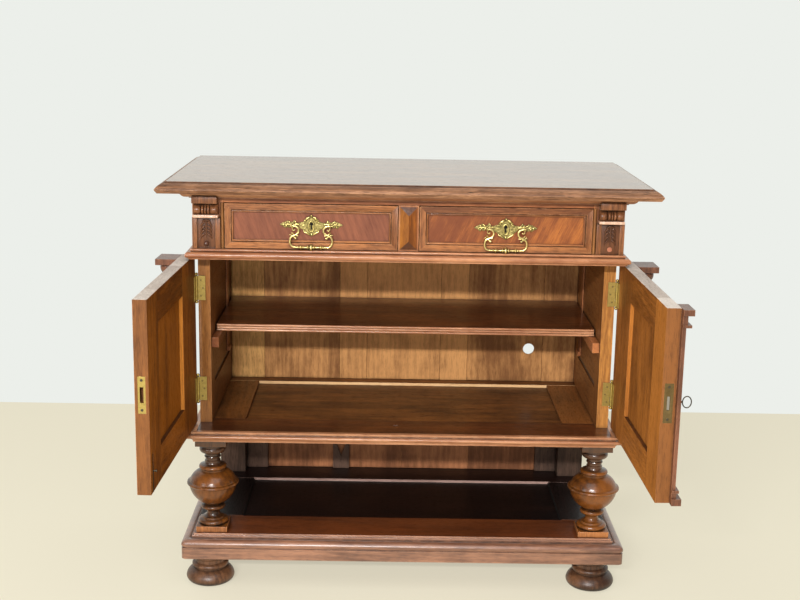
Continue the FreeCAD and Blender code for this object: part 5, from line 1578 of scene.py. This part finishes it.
@dataclass
class Plinth:
    """Base rails with a flat fascia and a round shoulder; sizes in millimetres."""

    half_width: float = 533.0
    front: float = -20.5
    back: float = 491.0
    foot: float = 84.3
    height: float = 43.7
    fascia: float = 29.0
    reach: float = 29.0
    crown: float = 50.0
    thickness: float = 38.0
    corner: float = 10.0

    def profile(self) -> list[Pair]:
        """Draw the moulding from its foot up.

        Returns:
            Steps of projection and height.
        """
        flat = self.reach - 0.6
        steps = [(flat - 1.5, 0.0), (flat, 1.5), (flat, self.fascia), (flat - 2.6, self.fascia + 1.2)]
        steps.append((flat - 2.0, self.fascia + 2.4))
        steps += arc(steps[-1], (self.reach, self.fascia + 7.5), (self.reach - 5.0, self.crown - 3.0), 6)
        steps += arc(steps[-1], (self.reach - 12.5, self.crown), (self.reach - 22.5, self.crown - 3.5), 7)
        return [*steps, (4.6, self.crown - 4.5), (4.4, self.height - 0.5), (0.0, self.height - 0.5)]

    def spread(self, out: float) -> Pair:
        """Width and depth of the base where it stands out this far, in metres."""
        return 2 * (self.half_width + out) * MM, (self.back - self.front + out) * MM

    def round_corners(self, piece: Piece) -> None:
        """Round the two front corners of the square that the rails are raised from.

        Args:
            piece: The square, in edit mode.
        """
        size = (*self.spread(self.reach), 1)
        bpy.ops.transform.resize(value=size, center_override=(0, self.back * MM, 0))
        bpy.ops.mesh.select_all(action="DESELECT")
        bpy.ops.mesh.select_mode(type="VERT")
        bpy.ops.object.mode_set(mode="OBJECT")
        for vertex in piece.data.vertices:
            vertex.select = vertex.co.y < self.front * MM
        bpy.ops.object.mode_set(mode="EDIT")
        bpy.ops.mesh.bevel(offset=self.corner * MM, segments=4, affect="VERTICES")
        bpy.ops.mesh.select_mode(type="FACE")
        bpy.ops.mesh.select_all(action="SELECT")

    def rails(self) -> Piece:
        """Raise the moulding step by step from its foot and open its middle.

        Returns:
            The base rails.
        """
        piece = fresh(bpy.ops.mesh.primitive_plane_add, size=1)
        piece.name = "plinth_rails"
        bpy.ops.object.mode_set(mode="EDIT")
        back = self.back * MM
        width, depth = self.spread(self.reach)
        level = 0.0
        bpy.ops.transform.translate(value=(0, back - 0.5, 0))
        self.round_corners(piece)
        for index, (out, rise) in enumerate(self.profile()):
            wide, deep = self.spread(out)
            top = (self.foot + rise) * MM
            if index:
                bpy.ops.mesh.extrude_region_move(TRANSFORM_OT_translate={"value": (0, 0, top - level)})
            else:
                bpy.ops.transform.translate(value=(0, 0, top))
            bpy.ops.transform.resize(value=(wide / width, deep / depth, 1), center_override=(0, back, top))
            width, depth, level = wide, deep, top
        bpy.ops.mesh.inset(thickness=self.thickness * MM)
        bpy.ops.mesh.delete(type="FACE")
        bpy.ops.mesh.select_mode(type="FACE")
        bpy.ops.mesh.select_all(action="DESELECT")
        bpy.ops.object.mode_set(mode="OBJECT")
        lowest = min(piece.data.polygons, key=lambda face: face.center.z - abs(face.normal.z))
        lowest.select = True
        bpy.ops.object.mode_set(mode="EDIT")
        bpy.ops.mesh.inset(thickness=self.thickness * MM)
        bpy.ops.mesh.delete(type="FACE")
        bpy.ops.mesh.select_mode(type="EDGE")
        bpy.ops.mesh.select_non_manifold()
        bpy.ops.mesh.bridge_edge_loops()
        bpy.ops.mesh.select_all(action="SELECT")
        bpy.ops.mesh.normals_make_consistent(inside=False)
        bpy.ops.object.mode_set(mode="OBJECT")
        smooth(EDGE_ANGLE)
        return piece

    def build(self) -> None:
        """Make the rails and let them stand for the CAD ones."""
        rails = self.rails()
        dressed(rails, BASE_WAX)
        mark_grain(rails, Along.ACROSS, "case", seed=0.42)
        settle(rails, "case", "base_wood", "plinth_fascia")


@dataclass
class Laths:
    """Near-black laths on each side that paint the shadow in the joint at the stage's back and in the wall's
    slot; in millimetres.
    """

    joint: tuple[Point, Point] = ((447.0, 478.0, 144.0), (452.0, 490.0, 389.0))
    slot: tuple[Point, Point] = ((496.0, 117.5, 505.2), (505.5, 426.5, 519.8))

    def build(self) -> None:
        """Plane the four laths."""
        for name, ends, way in (("joint_lath", self.joint, Along.UP), ("slot_lath", self.slot, Along.DEEP)):
            for side in Side:
                across = sorted(side.value * end[0] for end in ends)
                near, far = [mm(x, *end[1:]) for x, end in zip(across, ends)]
                lath = block(near, far, 0.4 * MM)
                lath.name = f"{side.word}_{name}"
                # BLACK_STAIN here paints the shadow in the gap.
                dressed(lath, BLACK_STAIN)
                mark_grain(lath, way, "case", seed=0.5)
                settle(lath, "case", "dark_wood")


@dataclass
class TurnedWork:
    """Balusters and feet from the lathe; sizes in millimetres."""

    stage: float = 144.0
    carried: float = 390.0
    block_size: float = 78.0
    base_height: float = 15.0
    abacus_height: float = 17.0
    baluster_place: Pair = (-488.0, 24.5)
    ball: float = 65.9
    neck: float = 317.0
    foot_places: tuple[Pair, ...] = ((-497.5, 24.0), (490.5, 24.0), (-497.5, 428.0), (490.5, 428.0))

    def baluster_profile(self) -> list[Pair]:
        """Draw the baluster's turned length from its foot up.

        Returns:
            Steps of height and radius.
        """
        steps = [(0.0, 34.0)]
        steps += arc(steps[-1], (6.0, 38.0), (12.0, 34.0), 5) + [(13.0, 28.0), (17.0, 27.0)]
        steps += arc(steps[-1], (22.0, 18.5), (31.0, 16.5), 5)
        steps += arc(steps[-1], (36.0, 19.0), (39.0, 26.0), 4)
        steps += arc((39.0, 26.0), (44.5, 31.0), (50.0, 26.0), 5)
        steps += [(53.0, 21.5)] + arc((53.0, 21.5), (72.0, 47.0), (104.0, 60.5), 10)
        steps += [(106.0, 64.5), (108.5, self.ball), (112.0, 65.0), (114.0, 60.5), (114.5, 59.0)]
        steps += arc(steps[-1], (131.0, 50.0), (142.0, 33.0), 9) + [(143.0, 31.5), (146.0, 31.5)]
        steps += arc(steps[-1], (152.0, 35.0), (157.0, 30.0), 5)
        steps += [(160.0, 21.5), (163.0, 20.0), (168.0, 20.0)]
        steps += [(170.0, 18.0), (175.0, 18.0)] + arc((175.0, 18.0), (178.0, 21.0), (181.0, 18.0), 4)
        steps += [(186.0, 18.0), (190.0, 28.0)] + arc((190.0, 28.0), (198.0, 33.5), (206.0, 30.0), 5)
        return [*steps, (214.0, 30.0)]

    def foot_profile(self) -> list[Pair]:
        """Draw a foot from the ground up.

        Returns:
            Steps of height and radius.
        """
        steps = [(0.0, 46.0), (1.2, 51.0)]
        steps += arc(steps[-1], (6.0, 58.0), (15.0, 61.8), 6)
        steps += arc((15.0, 61.8), (27.0, 57.5), (37.0, 45.5), 7)
        steps += [(38.5, 42.0), (41.0, 42.0)] + arc((41.0, 42.0), (47.0, 47.0), (53.0, 42.5), 6)
        return [*steps, (55.0, 39.0), (63.0, 39.0), (67.0, 43.0), (76.0, 44.0), (84.0, 44.0)]

    def spindle(self, profile: list[Pair], place: Pair, level: float, steps: int) -> Piece:
        """Turn one upright spindle.

        Args:
            profile: Height and radius steps.
            place: X and Y of its axis.
            level: Height of its foot.
            steps: Faces round it.

        Returns:
            The spindle.
        """
        piece = turned([mm(*step) for step in profile], mm(*place, level), (0, 0, 1), steps)
        smooth(LATHE_ANGLE)
        return piece

    def baluster(self) -> Piece:
        """Join the left baluster's spindle to its two blocks.

        Returns:
            The left baluster.
        """
        x, y = self.baluster_place
        half = self.block_size / 2
        base = self.stage + self.base_height
        parts = [self.spindle(self.baluster_profile(), self.baluster_place, base, 64)]
        for low, high in ((self.stage, base), (self.carried - self.abacus_height, self.carried)):
            parts.append(block(mm(x - half, y - half, low), mm(x + half, y + half, high), 0.8 * MM))
        return joined("left_baluster_turned", parts)

    def build(self) -> None:
        """Turn the left baluster and one foot, and copy them to their other places."""
        left = self.baluster()
        dressed(left, TURNED_POLISH, NECK_SHADED, FRAME_WAX)
        # Faces above the neck take the darker copy, painted shade; faces of the foot block take the frame
        # wax.
        for face in left.data.polygons:
            if face.center.z > self.neck * MM:
                face.material_index = 1
            elif face.center.z < (self.stage + self.base_height - 0.1) * MM:
                face.material_index = 2
        right = copied(left, "right_baluster_turned", mirror=True)
        for side, piece, seed in ((Side.LEFT, left, 0.15), (Side.RIGHT, right, 0.74)):
            mark_grain(piece, Along.UP, "case", seed)
            settle(piece, "case", "dark_wood", f"{side.word}_baluster")
        start, *others = self.foot_places
        first = self.spindle(self.foot_profile(), start, 0.0, 56)
        dressed(first, FOOT_POLISH)
        feet = [first]
        for x, y in others:
            feet.append(copied(first, "foot", mm(x - start[0], y - start[1], 0)))
        for number, foot in enumerate(feet):
            mark_grain(foot, Along.UP, "case", seed=0.2 + 0.21 * number)
        settle(joined("turned_feet", feet), "case", "dark_wood", "bun_feet")


@dataclass
class DoorLining:
    """Sloped moulding round the sunk panel on a door's inner face; in millimetres."""

    side: Side
    pivot: Pair = (526.0, 50.5)
    inner_face: float = 48.5
    panel_face: float = 41.6
    opening: tuple[float, float, float, float] = (160.4, 423.0, 500.0, 782.0)
    rim: float = 3.0
    slope: float = 8.0
    shell: float = 1.0
    lit: float = 0.35

    def swing(self, piece: Piece) -> None:
        """Turn a piece of the closed left door to where it hangs at rest, on either side.

        Args:
            piece: The piece, modelled on the closed left door.
        """
        angle = -DOORS.left if self.side is Side.LEFT else DOORS.right
        pick(piece)
        if self.side is Side.RIGHT:
            with bench():
                mirrored()
        hinge = Vector(mm(self.side.value * self.pivot[0], self.pivot[1], 0))
        turn = Matrix.Rotation(math.radians(angle), 4, "Z")
        piece.data.transform(Matrix.Translation(hinge) @ turn @ Matrix.Translation(-hinge))

    def moulding(self) -> Piece:
        """Sink a sheet into the panel's opening so that its four sides slope.

        Returns:
            The moulding, on the closed left door.
        """
        start, end, low, high = self.opening
        piece = fresh(bpy.ops.mesh.primitive_plane_add, size=1, rotation=(-math.pi / 2, 0, 0))
        bpy.ops.object.transform_apply()
        middle = mm((start + end) / 2 - self.pivot[0], self.inner_face - 0.4, (low + high) / 2)
        inner = end - start - 2 * self.rim
        with bench():
            bpy.ops.transform.resize(value=((end - start) * MM, 1, (high - low) * MM))
            bpy.ops.transform.translate(value=middle)
            bpy.ops.mesh.inset(thickness=self.rim * MM)
            bpy.ops.transform.translate(value=mm(0, self.panel_face - self.inner_face + 0.6, 0))
            bpy.ops.transform.resize(value=((inner - self.slope) / inner, 1, 1),
                                     center_override=mm(end - self.rim - self.pivot[0], 0, 0))
            bpy.ops.mesh.delete(type="FACE")
        modified(piece, "SOLIDIFY", thickness=self.shell * MM, offset=-1)
        # The slope along the hinge side takes painted light, the upward-facing lower slope painted shade.
        finishes = (DOOR_WAX, DOOR_SLOPE_LIT_LEFT) if self.side is Side.LEFT else (DOOR_WAX_LIT, DOOR_SLOPE_LIT_RIGHT)
        dressed(piece, *finishes, DOOR_SHADE)
        for face in piece.data.polygons:
            if face.normal.x > self.lit:
                face.material_index = 1
            elif face.normal.z > self.lit:
                face.material_index = 2
        return piece

    def build(self) -> None:
        """Make the moulding and hang it on its door."""
        piece = self.moulding()
        piece.name = f"{self.side.word}_door_lining"
        self.swing(piece)
        mark_grain(piece, Along.UP, f"{self.side.word}_door", seed=0.37 + 0.2 * self.side.value)
        settle(piece, f"{self.side.word}_door", "door_wood")


@dataclass
class Fittings:
    """Screw heads on the two plates in the door edges, and the key; millimetres."""

    head_radius: float = 3.0
    head_height: float = 1.0
    slot: float = 0.8
    slot_turn: float = 35.0
    strike_screws: tuple[Point, ...] = ((-566.4, -473.7, 613.0), (-566.4, -473.7, 679.0))
    lock_screws: tuple[Point, ...] = ((552.6, -474.1, 610.0), (552.6, -474.1, 682.0))
    bow_centre: Point = (595.0, -461.9, 646.0)
    bow_size: Pair = (9.5, 12.6)
    wire: float = 1.25
    shank: Pair = (556.4, 586.0)
    bit: tuple[float, float, float] = (556.6, 562.0, 634.0)

    def head(self) -> Piece:
        """Turn one screw head and cut its slot, at the origin and facing forward.

        Returns:
            The head.
        """
        radius, height, half = mm(self.head_radius, self.head_height, self.slot / 2)
        piece = fresh(bpy.ops.mesh.primitive_cylinder_add, vertices=18, radius=radius, depth=height,
                      rotation=(math.pi / 2, 0, 0))
        bpy.ops.object.transform_apply()
        with bench():
            bpy.ops.mesh.bevel(offset=0.3 * MM, segments=2, affect="EDGES")
        front = -height / 2
        floor = front + height * 0.6
        cutter = block((-2 * radius, front - height, -half), (2 * radius, floor, half), 0.02 * MM, 1)
        cutter.data.transform(Matrix.Rotation(math.radians(self.slot_turn), 4, "Y"))
        pick(piece)
        modified(piece, "BOOLEAN", operation="DIFFERENCE", object=cutter)
        bpy.data.objects.remove(cutter)
        dressed(piece, DARK_STEEL)
        return piece

    def key(self) -> None:
        """Shape the key from its bow, shank and bit."""
        x, y, z = self.bow_centre
        wide, tall = self.bow_size
        ring = [mm(x + wide * math.cos(turn), y, z + tall * math.sin(turn)) for turn in TWELFTHS]
        start, end = self.shank
        length = end - start
        profile = [(0.0, 1.6), (1.0, 2.1), (length - 7, 2.1), (length - 6, 2.8), (length - 3, 2.8),
                   (length - 2, 1.9), (length, 1.5)]
        inner, outer, low = self.bit
        parts = [swept(ring, [self.wire * MM] * len(ring), closed=True),
                 turned([mm(*step) for step in profile], mm(start, y, z), (1, 0, 0)),
                 block(mm(inner, y - 1, low), mm(outer, y + 1, z), 0.2 * MM)]
        piece = joined("key_iron", parts)
        smooth(BLOCK_ANGLE)
        dressed(piece, DARK_STEEL)
        settle(piece, "key", "brass", "door_key")

    def build(self) -> None:
        """Set the screws and make the key."""
        first = self.head()
        for name, body, places in (("strike_screws", "left_door", self.strike_screws),
                                   ("lock_screws", "right_door", self.lock_screws)):
            heads = [copied(first, name, mm(*place)) for place in places]
            settle(joined(name, heads), body, "iron")
        bpy.data.objects.remove(first)
        self.key()


@dataclass(frozen=True)
class Lamp:
    """One soft lamp, in metres and watts."""

    name: str
    place: Point
    aim: Point
    size: Pair
    power: float

    def hang(self) -> None:
        """Hang the lamp and turn its face to its aim."""
        data = bpy.data.lights.new(self.name, "AREA")
        data.shape = "RECTANGLE"
        data.size, data.size_y = self.size
        data.energy = self.power
        lamp = placed(self.name, data)
        lamp.location = self.place
        lamp.rotation_euler = (Vector(self.aim) - Vector(self.place)).to_track_quat("-Z", "Y").to_euler()


@dataclass
class Studio:
    """Floor, wall, lamps and camera."""

    eye: Point = (-0.049161, -3.084201, 1.443297)
    pitch: float = 0.219044
    yaw: float = 0.010251
    roll: float = 0.018267
    focal_pixels: float = 1281.365
    picture_width: float = 800.0
    sensor_width: float = 36.0
    half_room: float = 7.0
    wall_distance: float = 1.53
    floor_tint: Colour = (236, 229, 206)
    floor_glow: float = 0.62
    wall_tint: Colour = (236, 239, 234)
    wall_glow: float = 1.0
    sky_tint: tuple[float, float, float, float] = (1.0, 0.99, 0.97, 1.0)
    sky_strength: float = 0.16
    lamps: tuple[Lamp, ...] = (
        Lamp("front_lamp", (-0.95, -5.4, 2.8), (0, 0.2, 0.6), (2.0, 0.14), 300.0),
        Lamp("fill_lamp", (-0.6, -4.6, 1.4), (0, 0, 0.6), (2.6, 0.8), 46.0),
        Lamp("window_lamp", (-2.8, -2.6, 1.4), (0.5, -0.2, 0.6), (1.0, 1.0), 16.0),
        Lamp("ceiling_lamp", (0, -2.0, 3.3), (0, -0.4, 0.4), (3.6, 2.4), 55.0))

    def camera(self) -> None:
        """Stand the camera where the photograph was taken."""
        lens = bpy.data.cameras.new("camera")
        lens.sensor_fit = "HORIZONTAL"
        lens.sensor_width = self.sensor_width
        lens.lens = self.focal_pixels / self.picture_width * self.sensor_width
        camera = placed("camera", lens)
        level = math.cos(self.pitch)
        forward = Vector((math.sin(self.yaw) * level, math.cos(self.yaw) * level, -math.sin(self.pitch)))
        right = Vector((math.cos(self.yaw), -math.sin(self.yaw), 0))
        up = right.cross(forward)
        tilted = math.cos(self.roll) * right + math.sin(self.roll) * up
        raised = math.cos(self.roll) * up - math.sin(self.roll) * right
        turn = Matrix((tilted, raised, -forward)).transposed().to_4x4()
        camera.matrix_world = Matrix.Translation(self.eye) @ turn
        bpy.context.scene.camera = camera

    def surface(self, name: str, tint: Colour, glow: float) -> bpy.types.Material:
        """Matt sheet, partly or wholly lit from within, that can't be seen from behind.

        Args:
            name: Name of the material.
            tint: Its colour.
            glow: Share of its tint that it gives off; it reflects the rest.

        Returns:
            The material.
        """
        made = bpy.data.materials.new(name)
        made.use_nodes = True
        made.node_tree.nodes.clear()
        graph = Graph(made.node_tree)
        paint = graph.node("BsdfPrincipled")
        paint.inputs["Base Color"].default_value = [(1 - glow) * value for value in linear(tint)[:3]] + [1.0]
        paint.inputs["Specular IOR Level"].default_value = 0.0
        paint.inputs["Emission Color"].default_value = linear(tint)
        paint.inputs["Emission Strength"].default_value = glow
        mix = graph.node("MixShader")
        graph.feed(mix.inputs[0], graph.node("NewGeometry").outputs["Backfacing"])
        graph.feed(mix.inputs[1], paint.outputs[0])
        graph.feed(mix.inputs[2], graph.node("BsdfTransparent").outputs[0])
        graph.feed(graph.node("OutputMaterial").inputs["Surface"], mix.outputs[0])
        return made

    def room(self) -> None:
        """Lay a pale floor and stand a white wall behind the cabinet."""
        half = self.half_room
        floor = fresh(bpy.ops.mesh.primitive_plane_add, size=2 * half)
        wall = fresh(bpy.ops.mesh.primitive_plane_add, size=2 * half, location=(0, self.wall_distance, half),
                     rotation=(math.pi / 2, 0, 0))
        for sheet, name, tint, glow in ((floor, "floor", self.floor_tint, self.floor_glow),
                                        (wall, "wall", self.wall_tint, self.wall_glow)):
            sheet.name = name
            sheet.data.materials.append(self.surface(name + "_sheet", tint, glow))

    def light(self) -> None:
        """Light the cabinet softly from the front left and from above."""
        for lamp in self.lamps:
            lamp.hang()
        world = bpy.data.worlds.new("daylight")
        world.use_nodes = True
        world.node_tree.nodes.clear()
        graph = Graph(world.node_tree)
        sky = graph.node("Background")
        sky.inputs["Color"].default_value = self.sky_tint
        sky.inputs["Strength"].default_value = self.sky_strength
        graph.feed(graph.node("OutputWorld").inputs["Surface"], sky.outputs[0])
        bpy.context.scene.world = world
        bpy.context.scene.view_settings.view_transform = "Standard"

    def build(self) -> None:
        """Set up the whole studio."""
        self.camera()
        self.room()
        self.light()


def main() -> None:
    """Build every piece in order and note the sizes."""
    logging.basicConfig(level=logging.INFO, format="%(name)s: %(message)s")
    Studio().build()
    for piece in joinery() + metalwork():
        piece.build()
    Handle().build()
    Console().build()
    Plinth().build()
    Laths().build()
    TurnedWork().build()
    for side in Side:
        DoorLining(side).build()
    Fittings().build()


if __name__ == "__main__":
    main()
